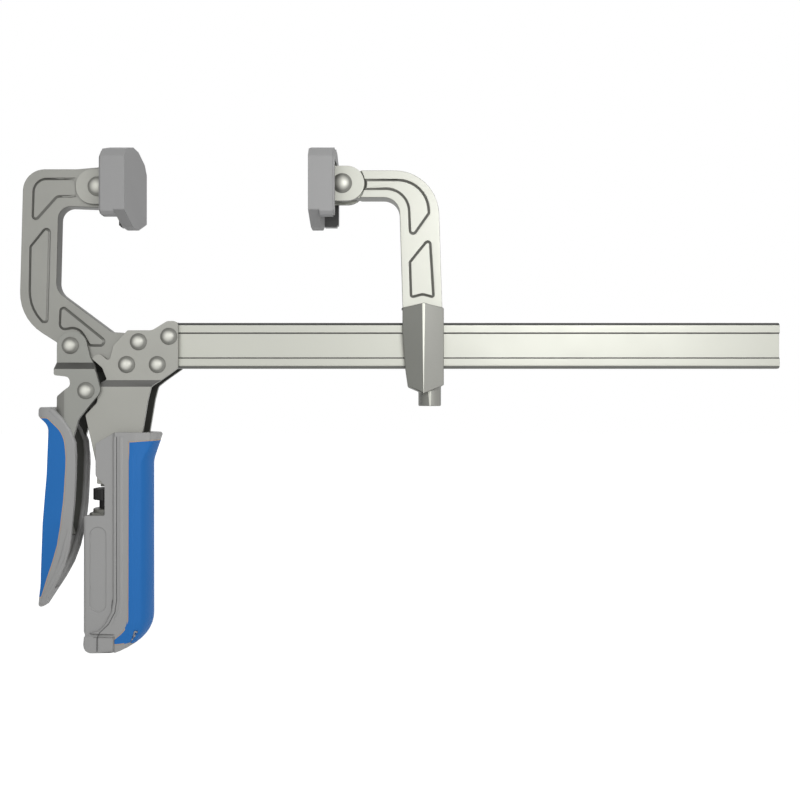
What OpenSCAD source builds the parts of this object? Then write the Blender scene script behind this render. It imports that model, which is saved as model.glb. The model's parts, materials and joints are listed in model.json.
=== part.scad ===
// Quick release bar clamp, in millimetres.
// X runs right along the bar, Y away from the viewer and Z up.
// The origin is the centre of the fixed jaw's working face.

/* [Bar] */
// Height of the flat bar
bar_height = 27.4; // [20:0.1:35]
// Thickness of the bar
bar_thickness = 8; // [6:0.1:10]
// Height of the bar's centre line
bar_centre_z = -93.6; // [-110:0.1:-80]
// Where the bar starts, between the frame plates
bar_start_x = 9.5; // [8:0.1:11]
// Free end of the bar
bar_end_x = 384.4; // [300:0.1:600]
// Rounding of the bar's long edges
bar_edge_radius = 2.3; // [0.5:0.1:3]
// Height of the shallow channel along each side
bar_channel_height = 15.6; // [10:0.1:18]
// Depth of that channel
bar_channel_depth = 0.8; // [0.3:0.1:1.2]

/* [Frame] */
// Thickness of the pressed steel plates
plate_thickness = 2; // [1.5:0.1:2.2]
// Free gap between flat faces that slide on each other
side_gap = 0.2; // [0.15:0.05:0.3]
// Overall height of a frame plate down to the end of its shoulder
frame_plate_height = 96.4; // [95:0.1:98]
// How far the plates bend outward
joggle_depth = 2; // [1.8:0.1:2.2]
// Height taken by the bend
joggle_height = 4; // [3:0.1:5]
// Top of the bend in the frame plates
frame_joggle_z = -114.2; // [-116:0.1:-113]
// Left and right of the arm pivot
arm_pivot_x = -3.6; // [-5:0.1:-2]
// Height of the arm pivot
arm_pivot_z = -105; // [-107:0.1:-103]
// Left and right of the free frame rivet
top_rivet_x = 3.4; // [3:0.1:4]
// Height of the free frame rivet
top_rivet_z = -91.5; // [-92:0.1:-91]
// Left and right of the upper bar rivet
corner_rivet_x = 21.4; // [20:0.1:22]
// Height of the upper bar rivet
corner_rivet_z = -88.3; // [-90:0.1:-87]
// Left and right of the lower bar rivet
low_rivet_x = 14.6; // [14:0.1:16]

/* [Rivets] */
// Shank radius of the frame and pad rivets
rivet_radius = 2.5; // [2:0.1:2.6]
// Shank radius of the arm, lever and link rivets
pivot_rivet_radius = 3; // [2.6:0.1:3.2]
// Head radius of the frame rivets
rivet_head_radius = 5.1; // [4:0.1:5.3]
// Head radius of the jaw pad rivets
pad_rivet_head_radius = 5.9; // [5:0.1:6]
// Height of a domed head
rivet_head_height = 2.5; // [2:0.1:2.8]
// Free gap around a pivot's shank
running_gap = 0.08; // [0.04:0.01:0.1]
// Free gap under the head of a pivot rivet
head_gap = 0.1; // [0.05:0.05:0.2]

/* [Jaw arm] */
// Height of the jaw arm, the size its outline is shares of
jaw_arm_height = 128; // [126:0.5:130]
// Depth of the pockets in its two faces
arm_pocket_depth = 1; // [0.5:0.1:1.4]
// Radius of the lobe around the arm pivot
arm_lobe_radius = 11.4; // [10:0.1:11.6]
// Radius of the eye inside the pad bracket
arm_eye_radius = 12; // [11:0.1:12.2]
// Left and right of the lever pivot
lever_pivot_x = -36.9; // [-38:0.1:-36]
// Height of the lever pivot
lever_pivot_z = -93.7; // [-95:0.1:-93]

/* [Lever] */
// Length that the outlines of the yoke and of the grip moulded on it follow
lever_yoke_length = 150; // [148:0.5:151]
// Top of the bend in the lever's cheeks
lever_joggle_z = -103.8; // [-105:0.1:-103]
// Thickness of the folded back of the yoke
yoke_back_thickness = 2; // [1.5:0.1:2.2]
// Left and right of the link rivet
link_pivot_x = -26.1; // [-27:0.1:-25]
// Height of the link rivet
link_pivot_z = -120.5; // [-122:0.1:-119]
// Half width of the lever grip, front to back
lever_grip_half_width = 11.8; // [11.6:0.1:13]
// Rounding of the grip's left side
lever_edge_radius = 10; // [8:0.1:11]
// Thickness of a soft inlay
inlay_thickness = 0.9; // [0.5:0.1:1]

/* [Toggle link] */
// Left and right of the link's foot
foot_x = -10.6; // [-12:0.1:-10]
// Height of the link's foot
foot_z = -167.4; // [-169:0.1:-166]
// Radius of the link's round foot
foot_radius = 4; // [3.8:0.1:4.2]
// Radius of the foot pin
foot_pin_radius = 2.2; // [1.8:0.1:2.4]
// Half thickness of the link
link_half_thickness = 3; // [2.5:0.1:3.1]
// Width of the link between its ends
link_width = 7.6; // [6:0.1:8]
// Radius of the barrel at the upper end
link_barrel_radius = 5; // [4.5:0.1:5.2]

/* [Pressure adjuster] */
// Left and right of the adjuster's axis
adjuster_x = -15.6; // [-16:0.1:-15]
// How far the knob lies below the frame plates' shoulders
knob_clearance = 3.2; // [3:0.1:3.6]
// Height of the knob's rim
knob_height = 6.4; // [5:0.1:7]
// Radius of the knob
knob_radius = 9.4; // [8:0.1:9.5]
// Radius of the knob's neck
knob_neck_radius = 6; // [5:0.1:6.5]
// Height of the knob's neck
knob_neck_height = 5.2; // [4:0.1:6]
// Depth of the grooves around the knob
knob_groove = 0.5; // [0.3:0.1:0.8]
// How many grooves the knob has
knob_grooves = 20; // [12:1:30]
// Radius of the adjuster screw
screw_radius = 2.9; // [2.5:0.1:3]
// Length of the adjuster screw
screw_length = 44; // [35:1:50]
// Radius of the stop ring at the screw's lower end
retainer_radius = 4.9; // [4:0.1:5.5]
// Height of that ring
retainer_height = 4; // [3:0.1:5]
// Radius of the collar's upper step
collar_radius = 9.4; // [8:0.1:9.5]
// Radius of the collar's lower step
collar_base_radius = 11.9; // [11:0.1:12]
// Height of each step of the collar
collar_step = 2; // [1.5:0.1:2.1]
// Width of the carriage along the bar
carriage_width = 14; // [13:0.1:14.5]
// Height of the carriage's cheeks
carriage_height = 17.6; // [17:0.1:18]
// Thickness of the carriage's floor
carriage_floor = 3.2; // [3:0.1:3.3]
// Extra length of the pin slots each way, for the open pivot and the adjustment
carriage_play = 2.8; // [2.6:0.1:3]

/* [Handle] */
// Length that the handle's outline is shares of
handle_length = 130.4; // [129:0.1:132]
// Half width of the handle, front to back
handle_half_width = 13; // [12.6:0.1:14]
// Half width of the flat panel on its left side
panel_half_width = 11.2; // [10.8:0.1:11.6]
// Where the flat panel meets the wider grip
panel_edge_x = -10; // [-10.5:0.1:-9]
// Rounding of the handle's right side, at its flared tip
handle_edge_radius = 12.5; // [10:0.1:12.8]
// Wall between the frame plates and the handle's right side
handle_back_wall = 2; // [1.8:0.1:2.3]
// Depth of the pill-shaped recess on the panel
badge_recess_depth = 0.6; // [0.3:0.1:0.8]
// Length of that recess
badge_recess_length = 50; // [45:1:54]
// Width of that recess
badge_recess_width = 9.6; // [8:0.1:10]

/* [Jaw pads] */
// Width of a pad, front to back, the size its outline is shares of
pad_width = 42; // [40:0.5:44]
// Depth of a pad along the bar
pad_depth = 15; // [14:0.1:15.5]
// Thickness of a pad behind its working face
pad_face_thickness = 6.5; // [6:0.1:6.6]
// Half width of the hollow in a pad's back
pad_hollow_half_width = 14; // [12:0.1:15]
// Top of that hollow
pad_hollow_top = 15; // [14.5:0.1:15.5]
// Rounding of the pad's vertical edges at its back
pad_back_chamfer = 1; // [0.6:0.1:2]
// How far the fixed pad's pivot lies behind its face
fixed_pivot_setback = 20.8; // [20.5:0.1:21.5]
// Height of the fixed pad's pivot
fixed_pivot_z = 0.6; // [0:0.1:1]
// How far the sliding pad's pivot lies behind its face
sliding_pivot_setback = 18.6; // [18.5:0.1:19.5]
// Height of the sliding pad's pivot
sliding_pivot_z = 2.5; // [2:0.1:3]
// Half height of a bracket's ears
ear_half_height = 10.4; // [10:0.1:10.6]
// How far the round end of an ear is centred behind the pivot
ear_end_setback = 2.7; // [2:0.1:3]
// Thickness of the bracket's web
bracket_web = 1.5; // [1.2:0.1:1.6]

/* [Sliding jaw] */
// Free space between the two working faces at rest
jaw_gap = 105.5; // [20:0.5:300]
// Height that the sliding arm's outline is shares of
sliding_jaw_height = 136; // [135.5:0.1:136.5]
// Height of the head around the bar, the size its outline is shares of
sliding_head_height = 53.4; // [53:0.1:54]
// Thickness of the sliding arm
sliding_arm_thickness = 11; // [10:0.1:12]
// Depth of its pockets
sliding_pocket_depth = 1.2; // [0.6:0.1:1.6]
// Radius of the eye inside the pad bracket
sliding_eye_radius = 9.4; // [9:0.1:9.8]
// Radius of the turned-down ring that leaves room for the ears
ear_relief_radius = 13.4; // [13.3:0.1:14]
// Half width of the head at its ridge
head_ridge_half_width = 11; // [10:0.1:12]
// Half width of the head at its two sides
head_side_half_width = 6.6; // [6.2:0.1:7]
// Free gap around the bar inside the head
slot_gap = 0.25; // [0.2:0.05:0.4]
// Radius of the round lug under the head
lug_radius = 6.8; // [6.6:0.1:7]
// Bottom of the lug
lug_bottom_z = -129.6; // [-131:0.1:-128]
// Radius of the brake's bore
brake_bore_radius = 3.2; // [3:0.1:3.5]
// Length of the brake plunger
plunger_length = 5; // [4:0.1:6]
// Length of the brake's set screw
set_screw_length = 7; // [6:0.1:8]
// Wire radius of the brake spring
spring_wire_radius = 0.45; // [0.35:0.05:0.5]
// Turns of the brake spring
spring_turns = 5; // [4:1:6]

/* [Hidden] */
// Degrees that one flat of a rounded corner turns through
arc_step = 9;
// Sides of a drawn circle
$fn = 72;
// Overrun of a cut past the face it opens
overrun = plate_thickness / 4;

// Layers, as distances from the middle plane
core_half = bar_thickness / 2;
upper_in = core_half + side_gap;
upper_out = upper_in + plate_thickness;
lower_in = upper_in + joggle_depth;
lower_out = lower_in + plate_thickness;
yoke_in = lower_out + side_gap;
yoke_out = yoke_in + plate_thickness;

// Places in the plane of the clamp
arm_pivot = [arm_pivot_x, arm_pivot_z];
lever_pivot = [lever_pivot_x, lever_pivot_z];
link_pivot = [link_pivot_x, link_pivot_z];
foot = [foot_x, foot_z];
frame_rivet_places = [
    [top_rivet_x, top_rivet_z], [corner_rivet_x, corner_rivet_z], [low_rivet_x, arm_pivot_z]
];
fixed_pad_pivot = [-fixed_pivot_setback, fixed_pivot_z];
sliding_pad_pivot = [jaw_gap + sliding_pivot_setback, sliding_pivot_z];
bar_bottom_z = bar_centre_z - bar_height / 2;
// A height below everything
deep_z = -3 * handle_length;

// Outline of a frame plate, as corners [x, z, rounding] in shares of its height
frame_plate_shares = [
    [-0.011, 0.193, 0.01], [0.006, 0.211, 0.016], [0.157, 0.211, 0.062], [0.25, 0.268, 0.041],
    [0.307, 0.268, 0.031], [0.315, 0.244, 0.016], [0.315, -0.023, 0.016], [0.157, -0.135, 0.031],
    [0.136, -0.218, 0.104], [0.091, -0.488, 0.1], [0.091, -1.4, 0.021], [-0.01, -1.4, 0.021],
    [-0.01, -0.732, 0.016], [-0.176, -0.732, 0.01], [-0.172, -0.643, 0.083], [-0.245, -0.31, 0.016],
    [-0.173, -0.233, 0.031], [-0.165, -0.118, 0.008], [-0.122, -0.09, 0.006], [-0.15, -0.02, 0.012],
    [-0.213, 0.037, 0.008], [-0.176, 0.077, 0.04], [-0.106, 0.017, 0.016], [-0.082, 0.114, 0.052]
];
shoulder_z = arm_pivot_z + frame_plate_shares[13][1] * frame_plate_height;

// The adjuster's heights
knob_top_z = shoulder_z - knob_clearance;
knob_bottom_z = knob_top_z - knob_height;
collar_top_z = knob_bottom_z - knob_neck_height - side_gap;
collar_bottom_z = collar_top_z - 2 * collar_step;
collar_clip = knob_radius + side_gap;
screw_top_z = foot_z - foot_radius - carriage_play;
screw_bottom_z = screw_top_z - screw_length;

// The other outlines, each in shares of the size that it is drawn with below
jaw_arm_shares = [
    [-0.134, 0.731, 0], [-0.323, 0.738, 0.059], [-0.333, 0.344, 0.078], [-0.075, 0.152, 0.031],
    [-0.008, 0.148, 0.02], [0.008, 0.078, 0], [0, -0.089, 0], [-0.118, 0.008, 0.03],
    [-0.198, 0.022, 0.047], [-0.315, 0.027, 0.047], [-0.331, 0.104, 0.008], [-0.506, 0.215, 0.219],
    [-0.487, 0.91, 0.102], [-0.237, 0.91, 0.234], [-0.134, 0.919, 0]
];
corner_pocket_shares = [
    [-0.241, 0.868, 0.005], [-0.441, 0.868, 0.066], [-0.448, 0.644, 0.018], [-0.327, 0.779, 0.023],
    [-0.241, 0.779, 0.005]
];
upright_pocket_shares = [
    [-0.359, 0.671, 0.019], [-0.372, 0.195, 0.014], [-0.398, 0.195, 0.016], [-0.462, 0.263, 0.2],
    [-0.457, 0.55, 0.023]
];
slanted_pocket_shares = [
    [-0.316, 0.287, 0.019], [-0.322, 0.156, 0.028], [-0.23, 0.172, 0.055], [-0.181, 0.086, 0.019],
    [-0.066, 0.084, 0.022]
];
yoke_shares = [
    [-0.053, 0.055, 0.057], [0.053, 0.055, 0.053], [0.077, -0.045, 0.027], [0.109, -0.102, 0.053],
    [0.131, -0.182, 0.04], [0.043, -0.289, 0.053], [0.019, -0.375, 0.067], [0.009, -0.642, 0.2],
    [-0.017, -0.802, 0.1], [-0.064, -0.882, 0.006], [-0.081, -0.882, 0.006], [-0.063, -0.542, 0.3],
    [-0.051, -0.375, 0.133], [-0.047, -0.201, 0.01], [0.011, -0.159, 0.019], [0.006, -0.125, 0.019],
    [-0.054, -0.118, 0.008]
];
lever_grip_shares = [
    [-0.146, -0.308, 0.02], [-0.075, -0.312, 0.06], [0.012, -0.43, 0.2], [0.048, -0.53, 0.35],
    [0.036, -0.8, 1.5], [0.004, -1.07, 0.6], [-0.142, -1.314, 0.014], [-0.174, -1.322, 0.012],
    [-0.148, -1.19, 0.5], [-0.099, -0.647, 0.6], [-0.089, -0.4, 0.06], [-0.148, -0.352, 0.012]
];
lever_inlay_shares = [
    [-0.196, -0.36, 0], [-0.095, -0.36, 0.017], [-0.012, -0.44, 0.14], [0.002, -0.56, 0.5],
    [-0.012, -0.79, 1.2], [-0.046, -1, 0.9], [-0.15, -1.268, 0.004], [-0.216, -1.285, 0]
];
handle_shares = [
    [-0.127, -0.357, 0.015], [-0.038, -0.306, 0.031], [0.137, -0.309, 0.011], [0.094, -0.437, 0.107],
    [0.094, -1.296, 0.151], [-0.183, -1.296, 0.038], [-0.174, -1.219, 0.012], [-0.183, -1.204, 0.008],
    [-0.183, -0.682, 0.012], [-0.086, -0.682, 0.008], [-0.086, -0.546, 0.015], [-0.127, -0.502, 0.023]
];
handle_inlay_shares = [
    [0.025, -0.347, 0.006], [0.181, -0.339, 0], [0.181, -1.246, 0], [0.043, -1.26, 0.046],
    [-0.071, -1.26, 0.005], [0.021, -1.181, 0.092]
];
sliding_arm_shares = [
    [0.417, 0.058, 0.195], [0, 0.058, 0], [0, -0.061, 0], [0.249, -0.061, 0.07]
];
curved_pocket_shares = [
    [0.094, 0.019, 0.004], [0.381, 0.019, 0.14], [0.382, -0.132, 0.011], [0.293, -0.258, 0.018],
    [0.284, -0.027, 0.096], [0.094, -0.027, 0.004]
];
lower_pocket_shares = [
    [0.386, -0.224, 0.016], [0.403, -0.502, 0.012], [0.351, -0.488, 0.022], [0.296, -0.502, 0.013],
    [0.291, -0.342, 0.011]
];
head_shares = [
    [-0.232, 0.414, 0], [0, 0.465, 0], [0.227, 0.414, 0], [0.227, -0.442, 0.018],
    [0, -0.536, 0.018], [-0.171, -0.464, 0.028], [-0.199, -0.268, 0.056], [-0.232, 0.142, 0]
];
// The right half of a pad's face, as corners [y, z, rounding]
pad_face_half_shares = [
    [0.119, 0.571, 0.02], [0.405, 0.467, 0.05], [0.5, 0.345, 0.05], [0.5, -0.39, 0.02],
    [0.119, -0.557, 0.05]
];
pad_body_half_shares = [
    [0.119, 0.571, 0.02], [0.405, 0.467, 0.05], [0.5, 0.345, 0.05], [0.5, -0.41, 0.02],
    [0.45, -0.457, 0.02]
];
// Left and right of the sliding arm's lower end, and the head's ridge, as shares of its height
arm_end_shares = [0.264, 0.437];
ridge_share = 0.354;
// How far right of the ridge the lug stands, as a share of the head's height
lug_share = 0.074;
// Size of the lever grip's outline, as a share of the yoke's length
grip_share = 0.787;
// How far the grip's hollow runs past the yoke, as a share of the yoke's lowest edge
hollow_share = 0.24;
// Corner cut off the bar's hidden end, as shares of the bar's height
bar_corner_shares = [0.475, 0.277];
// Middle of the handle's recess, as a share of the handle's length
badge_share = -0.924;
// The tongue that the lever grip narrows to, seen from its left: half widths as shares of the grip's
// own, heights and roundings as shares of its length
tongue_shares = [[1.04, 0.5, 0], [1.04, -0.82, 0.3], [0.62, -1.15, 0.12], [0.18, -1.35, 0.01]];

lever_grip_length = lever_yoke_length * grip_share;

// Names of the sub-parts

// Corners placed in the plane from shares of a size
function placed(shares, at, size) =
    [for (s = shares) [at[0] + s[0] * size, at[1] + s[1] * size, s[2] * size]];

// Half an outline and its mirror image, for corners that run down the right side
function both_halves(half) =
    concat(half, [for (i = [len(half) - 1:-1:0]) [-half[i][0], half[i][1], half[i][2]]]);

// The same for corners that run along the far side
function near_and_far(half) =
    concat(half, [for (i = [len(half) - 1:-1:0]) [half[i][0], -half[i][1], half[i][2]]]);

// One face of a bent plate, as distance from the middle plane and height
function bent_face(distance, step, bend_z) = [
    [distance, 0, 0], [distance, bend_z, 0], [distance + step, bend_z - joggle_height, 0],
    [distance + step, deep_z, 0]
];

// How much lower the inner face of a bend starts, so that the plate keeps its thickness
function bend_lag(step) = plate_thickness * tan(atan(step / joggle_height) / 2);

function unit(v) = v / norm(v);

// Points of the arc that rounds one corner
function corner_arc(before, corner, after) =
    let (
        here = [corner[0], corner[1]],
        back = unit([before[0], before[1]] - here),
        on = unit([after[0], after[1]] - here),
        half = acos(back * on) / 2,
        centre = here + unit(back + on) * corner[2] / sin(half),
        start = here + back * corner[2] / tan(half) - centre,
        turn = 180 - 2 * half,
        side = sign(back[0] * on[1] - back[1] * on[0]),
        steps = max(2, ceil(turn / arc_step)),
        first = atan2(start[1], start[0])
    )
    corner[2] == 0 ? [here] :
    [for (i = [0:steps]) let (a = first - side * turn * i / steps) centre + corner[2] * [cos(a), sin(a)]];

// A closed outline with every corner rounded
function rounded(corners) =
    let (n = len(corners))
    [for (i = [0:n - 1]) each corner_arc(corners[(i + n - 1) % n], corners[i], corners[(i + 1) % n])];

// A plate with the given outline, between two distances from the middle plane
module slab(outline, near, far) {
    translate([0, far, 0]) rotate([90, 0, 0]) linear_extrude(far - near) polygon(outline);
}

// The same, reaching equally far to both sides
module core(outline, half) {
    slab(outline, -half, half);
}

// A round bar or hole across the clamp
module across(at, radius, near, far) {
    translate([at[0], far, at[1]]) rotate([90, 0, 0]) cylinder(h = far - near, r = radius);
}

// A profile drawn across the clamp and drawn out along the bar
module along_bar(from, to) {
    translate([from, 0, 0]) rotate([90, 0, 90]) linear_extrude(to - from) children();
}

// A section seen from above, drawn out over the height of the handle and grip
module upright_section(corners) {
    translate([0, 0, deep_z]) linear_extrude(-deep_z) polygon(rounded(corners));
}

// An upright round piece
module upright(x, radius, bottom, top) {
    translate([x, 0, bottom]) cylinder(h = top - bottom, r = radius);
}

module back_side() {
    mirror([0, 1, 0]) children();
}

module domed_head(at, radius, face) {
    sphere_radius = (radius * radius + rivet_head_height * rivet_head_height) / (2 * rivet_head_height);
    intersection() {
        translate([at[0], face + rivet_head_height - sphere_radius, at[1]]) sphere(sphere_radius);
        across(at, radius + overrun, face, face + rivet_head_height + overrun);
    }
}

// A rivet through the clamp with a domed head on each side
module rivet(at, shank, head, face) {
    across(at, shank, -face, face);
    domed_head(at, head, face);
    back_side() domed_head(at, head, face);
}

// A coil of round wire as one unbroken tube, standing on its base
module coil(radius, wire, turns, height) {
    steps = 8;
    rings = steps * turns;
    sides = 6;
    points = [for (i = [0:rings]) let (a = 360 * i / steps, z = wire + (height - 2 * wire) * i / rings)
        for (j = [0:sides - 1]) let (b = 360 * j / sides)
            [(radius + wire * cos(b)) * cos(a), (radius + wire * cos(b)) * sin(a), z + wire * sin(b)]];
    walls = [for (i = [0:rings - 1], j = [0:sides - 1])
        let (k = (j + 1) % sides) [i * sides + j, i * sides + k, (i + 1) * sides + k, (i + 1) * sides + j]];
    start = [for (j = [sides - 1:-1:0]) j];
    finish = [for (j = [0:sides - 1]) rings * sides + j];
    polyhedron(points, concat([start, finish], walls));
    gaps = [for (i = [0:rings - steps]) norm(points[i * sides] - points[(i + steps) * sides]) - 2 * wire];
    echo(str("least gap between the coil's turns, mm: ", min(gaps)));
}

module frame_plate() {
    outline = rounded(placed(frame_plate_shares, arm_pivot, frame_plate_height));
    inner = bent_face(upper_in, joggle_depth, frame_joggle_z - bend_lag(joggle_depth));
    outer = bent_face(upper_out, joggle_depth, frame_joggle_z);
    section = concat(inner, [for (i = [len(outer) - 1:-1:0]) outer[i]]);
    difference() {
        intersection() {
            slab(outline, upper_in - overrun, lower_out + overrun);
            along_bar(-frame_plate_height, frame_plate_height) polygon([for (c = section) [c[0], c[1]]]);
        }
        for (at = frame_rivet_places) across(at, rivet_radius, -overrun, lower_out + overrun);
        across(arm_pivot, pivot_rivet_radius, -overrun, lower_out + overrun);
    }
}

module frame_plate_front() {
    color("silver") back_side() frame_plate();
}

module frame_plate_back() {
    color("silver") frame_plate();
}

module bar() {
    edge = bar_edge_radius;
    top = bar_height / 2;
    web = bar_channel_height / 2;
    inset = core_half - bar_channel_depth;
    section = rounded([
        [core_half, top, edge], [core_half, web, 0], [inset, web - bar_channel_depth, 0],
        [inset, bar_channel_depth - web, 0], [core_half, -web, 0], [core_half, -top, edge],
        [-core_half, -top, edge], [-core_half, -web, 0], [-inset, bar_channel_depth - web, 0],
        [-inset, web - bar_channel_depth, 0], [-core_half, web, 0], [-core_half, top, edge]
    ]);
    low_rivet = frame_rivet_places[2];
    corner = bar_corner_shares * bar_height;
    bar_top_z = bar_centre_z + top;
    cut_start = [bar_start_x, bar_top_z - corner[1]];
    color("gainsboro") difference() {
        translate([0, 0, bar_centre_z]) along_bar(bar_start_x, bar_end_x) polygon(section);
        core([
            cut_start - corner, cut_start + 2 * corner, [bar_start_x - corner[0], bar_top_z + corner[1]]
        ], bar_thickness);
        for (at = frame_rivet_places) across(at, rivet_radius, -bar_thickness, bar_thickness);
        translate([low_rivet[0] - rivet_radius, -bar_thickness, bar_bottom_z - bar_thickness])
            cube([2 * rivet_radius, 2 * bar_thickness, low_rivet[1] - bar_bottom_z + bar_thickness]);
    }
}

module frame_rivets() {
    color("lightgrey") for (at = frame_rivet_places) rivet(at, rivet_radius, rivet_head_radius, upper_out);
}

module arm_pivot_rivet() {
    color("lightgrey") rivet(arm_pivot, pivot_rivet_radius, rivet_head_radius, upper_out);
}

module frame_spacer() {
    color("grey") difference() {
        across(frame_rivet_places[0], rivet_radius + plate_thickness / 2, -upper_in, upper_in);
        across(frame_rivet_places[0], rivet_radius, -upper_out, upper_out);
    }
}

handle_left = arm_pivot[0] + handle_shares[5][0] * handle_length;
handle_right = arm_pivot[0] + handle_shares[3][0] * handle_length;
handle_tip = arm_pivot[0] + handle_shares[2][0] * handle_length;

// The handle's outer skin, or a skin that lies deeper by the inset
module handle_skin(inset) {
    outline = rounded(placed(handle_shares, arm_pivot, handle_length));
    half = handle_half_width - inset;
    wide_from = panel_edge_x + handle_half_width - panel_half_width;
    side = inset == 0 ?
        [[handle_left - overrun, panel_half_width, panel_half_width / 4],
            [panel_edge_x, panel_half_width, 0], [wide_from, half, 0]] :
        [[handle_left - half, half, 0]];
    intersection() {
        core([for (p = outline) [p[0] - inset, p[1]]], handle_half_width + overrun);
        upright_section(near_and_far(
            concat(side, [[handle_tip + overrun - inset, half, handle_edge_radius - inset]])
        ));
    }
}

module handle_inlay_space() {
    difference() {
        core(rounded(placed(handle_inlay_shares, arm_pivot, handle_length)), handle_half_width + 2 * overrun);
        handle_skin(inlay_thickness);
    }
}

// Room for the frame plates, the link and the carriage
module handle_hollow() {
    side = handle_right - handle_back_wall;
    open_left = handle_left - handle_half_width;
    tang_left = arm_pivot[0] + frame_plate_shares[11][0] * frame_plate_height;
    tang_right = arm_pivot[0] + frame_plate_shares[10][0] * frame_plate_height;
    tang_bottom = arm_pivot[1] + frame_plate_shares[10][1] * frame_plate_height;
    core([
        [open_left, arm_pivot[1]], [side, arm_pivot[1]], [side, knob_top_z], [tang_right, knob_top_z],
        [tang_right, tang_bottom], [tang_left, tang_bottom], [tang_left, knob_top_z], [open_left, knob_top_z]
    ], lower_out);
}

// Room for the knob, its collar and the screw
module adjuster_space() {
    upright(adjuster_x, knob_radius + 2 * side_gap, collar_top_z, knob_top_z + overrun);
    intersection() {
        upright(adjuster_x, collar_base_radius, collar_bottom_z, collar_top_z + overrun);
        translate([adjuster_x, 0, collar_bottom_z]) cube(2 * collar_clip, center = true);
    }
    upright(adjuster_x, screw_radius + running_gap, screw_bottom_z - side_gap, knob_top_z);
    upright(adjuster_x, retainer_radius + side_gap,
        screw_bottom_z - side_gap, screw_bottom_z + retainer_height + side_gap);
}

module badge_recess() {
    x = (handle_left + panel_edge_x) / 2;
    z = arm_pivot[1] + badge_share * handle_length;
    reach = (badge_recess_length - badge_recess_width) / 2;
    floor_y = panel_half_width - badge_recess_depth;
    for (end = [-reach, reach])
        across([x, z + end], badge_recess_width / 2, floor_y, handle_half_width + overrun);
    translate([x - badge_recess_width / 2, floor_y, z - reach])
        cube([badge_recess_width, handle_half_width + overrun - floor_y, 2 * reach]);
}

// The back half of the handle's grey shell
module handle_half() {
    difference() {
        intersection() {
            handle_skin(0);
            translate([-handle_length, 0, deep_z]) cube([2 * handle_length, handle_length, -deep_z]);
        }
        handle_inlay_space();
        handle_hollow();
        adjuster_space();
        badge_recess();
    }
}

module handle_shell_front() {
    color("darkgrey") back_side() handle_half();
}

module handle_shell_back() {
    color("darkgrey") handle_half();
}

module handle_grip_inlay() {
    color("royalblue") intersection() {
        handle_skin(0);
        handle_inlay_space();
    }
}

module adjuster_collar() {
    color("dimgrey") difference() {
        union() {
            upright(adjuster_x, collar_radius, collar_bottom_z, collar_top_z);
            intersection() {
                upright(adjuster_x, collar_base_radius, collar_bottom_z, collar_bottom_z + collar_step);
                translate([adjuster_x, 0, collar_bottom_z]) cube(2 * collar_clip, center = true);
            }
        }
        upright(adjuster_x, screw_radius + running_gap, collar_bottom_z - overrun, collar_top_z + overrun);
    }
}

module adjuster_knob() {
    neck_bottom_z = knob_bottom_z - knob_neck_height;
    color("black") difference() {
        union() {
            upright(adjuster_x, knob_radius, knob_bottom_z, knob_top_z);
            upright(adjuster_x, knob_neck_radius, neck_bottom_z, knob_bottom_z);
        }
        upright(adjuster_x, screw_radius, neck_bottom_z - overrun, knob_top_z + overrun);
        for (i = [0:knob_grooves - 1]) {
            a = 360 * i / knob_grooves;
            translate([adjuster_x + knob_radius * cos(a), knob_radius * sin(a), knob_bottom_z - overrun])
                cylinder(h = knob_height + 2 * overrun, r = knob_groove);
        }
    }
}

module adjuster_screw() {
    color("grey") upright(adjuster_x, screw_radius, screw_bottom_z, screw_top_z);
}

module screw_retainer() {
    top_z = screw_bottom_z + retainer_height;
    color("grey") difference() {
        upright(adjuster_x, retainer_radius, screw_bottom_z, top_z);
        upright(adjuster_x, screw_radius, screw_bottom_z - overrun, top_z + overrun);
    }
}

module pressure_carriage() {
    floor_top = foot_z - foot_radius - carriage_play + side_gap;
    bottom = floor_top - carriage_floor;
    left = foot_x - carriage_width / 2 - screw_radius / 2;
    half = lower_in - side_gap;
    slot = link_half_thickness + side_gap;
    color("slategrey") difference() {
        translate([left, -half, bottom]) cube([carriage_width + screw_radius / 2, 2 * half, carriage_height]);
        translate([left - overrun, -slot, floor_top])
            cube([carriage_width + screw_radius / 2 + 2 * overrun, 2 * slot, carriage_height]);
        for (end = [-carriage_play, carriage_play])
            across([foot_x, foot_z + end], foot_pin_radius + 3 * side_gap, -lower_out, lower_out);
        translate([foot_x - foot_pin_radius - 3 * side_gap, -lower_out, foot_z - carriage_play])
            cube([2 * foot_pin_radius + 6 * side_gap, 2 * lower_out, 2 * carriage_play]);
        upright(adjuster_x, screw_radius + running_gap, bottom - overrun, floor_top + overrun);
    }
}

module jaw_arm() {
    outline = rounded(placed(jaw_arm_shares, arm_pivot, jaw_arm_height));
    pocket_floor = core_half - arm_pocket_depth;
    color("darkgrey") difference() {
        union() {
            core(outline, core_half);
            across(arm_pivot, arm_lobe_radius, -core_half, core_half);
            across(fixed_pad_pivot, arm_eye_radius, -core_half, core_half);
        }
        for (shares = [corner_pocket_shares, upright_pocket_shares, slanted_pocket_shares]) {
            pocket = rounded(placed(shares, arm_pivot, jaw_arm_height));
            slab(pocket, pocket_floor, core_half + overrun);
            slab(pocket, -core_half - overrun, -pocket_floor);
        }
        across(arm_pivot, pivot_rivet_radius + running_gap, -upper_out, upper_out);
        across(lever_pivot, pivot_rivet_radius, -upper_out, upper_out);
        across(fixed_pad_pivot, rivet_radius, -upper_out, upper_out);
    }
}

module lever_pivot_rivet() {
    color("lightgrey") rivet(lever_pivot, pivot_rivet_radius, rivet_head_radius, upper_out + head_gap);
}

module fixed_pad_rivet() {
    color("lightgrey") rivet(fixed_pad_pivot, rivet_radius, pad_rivet_head_radius, upper_out + head_gap);
}

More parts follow.
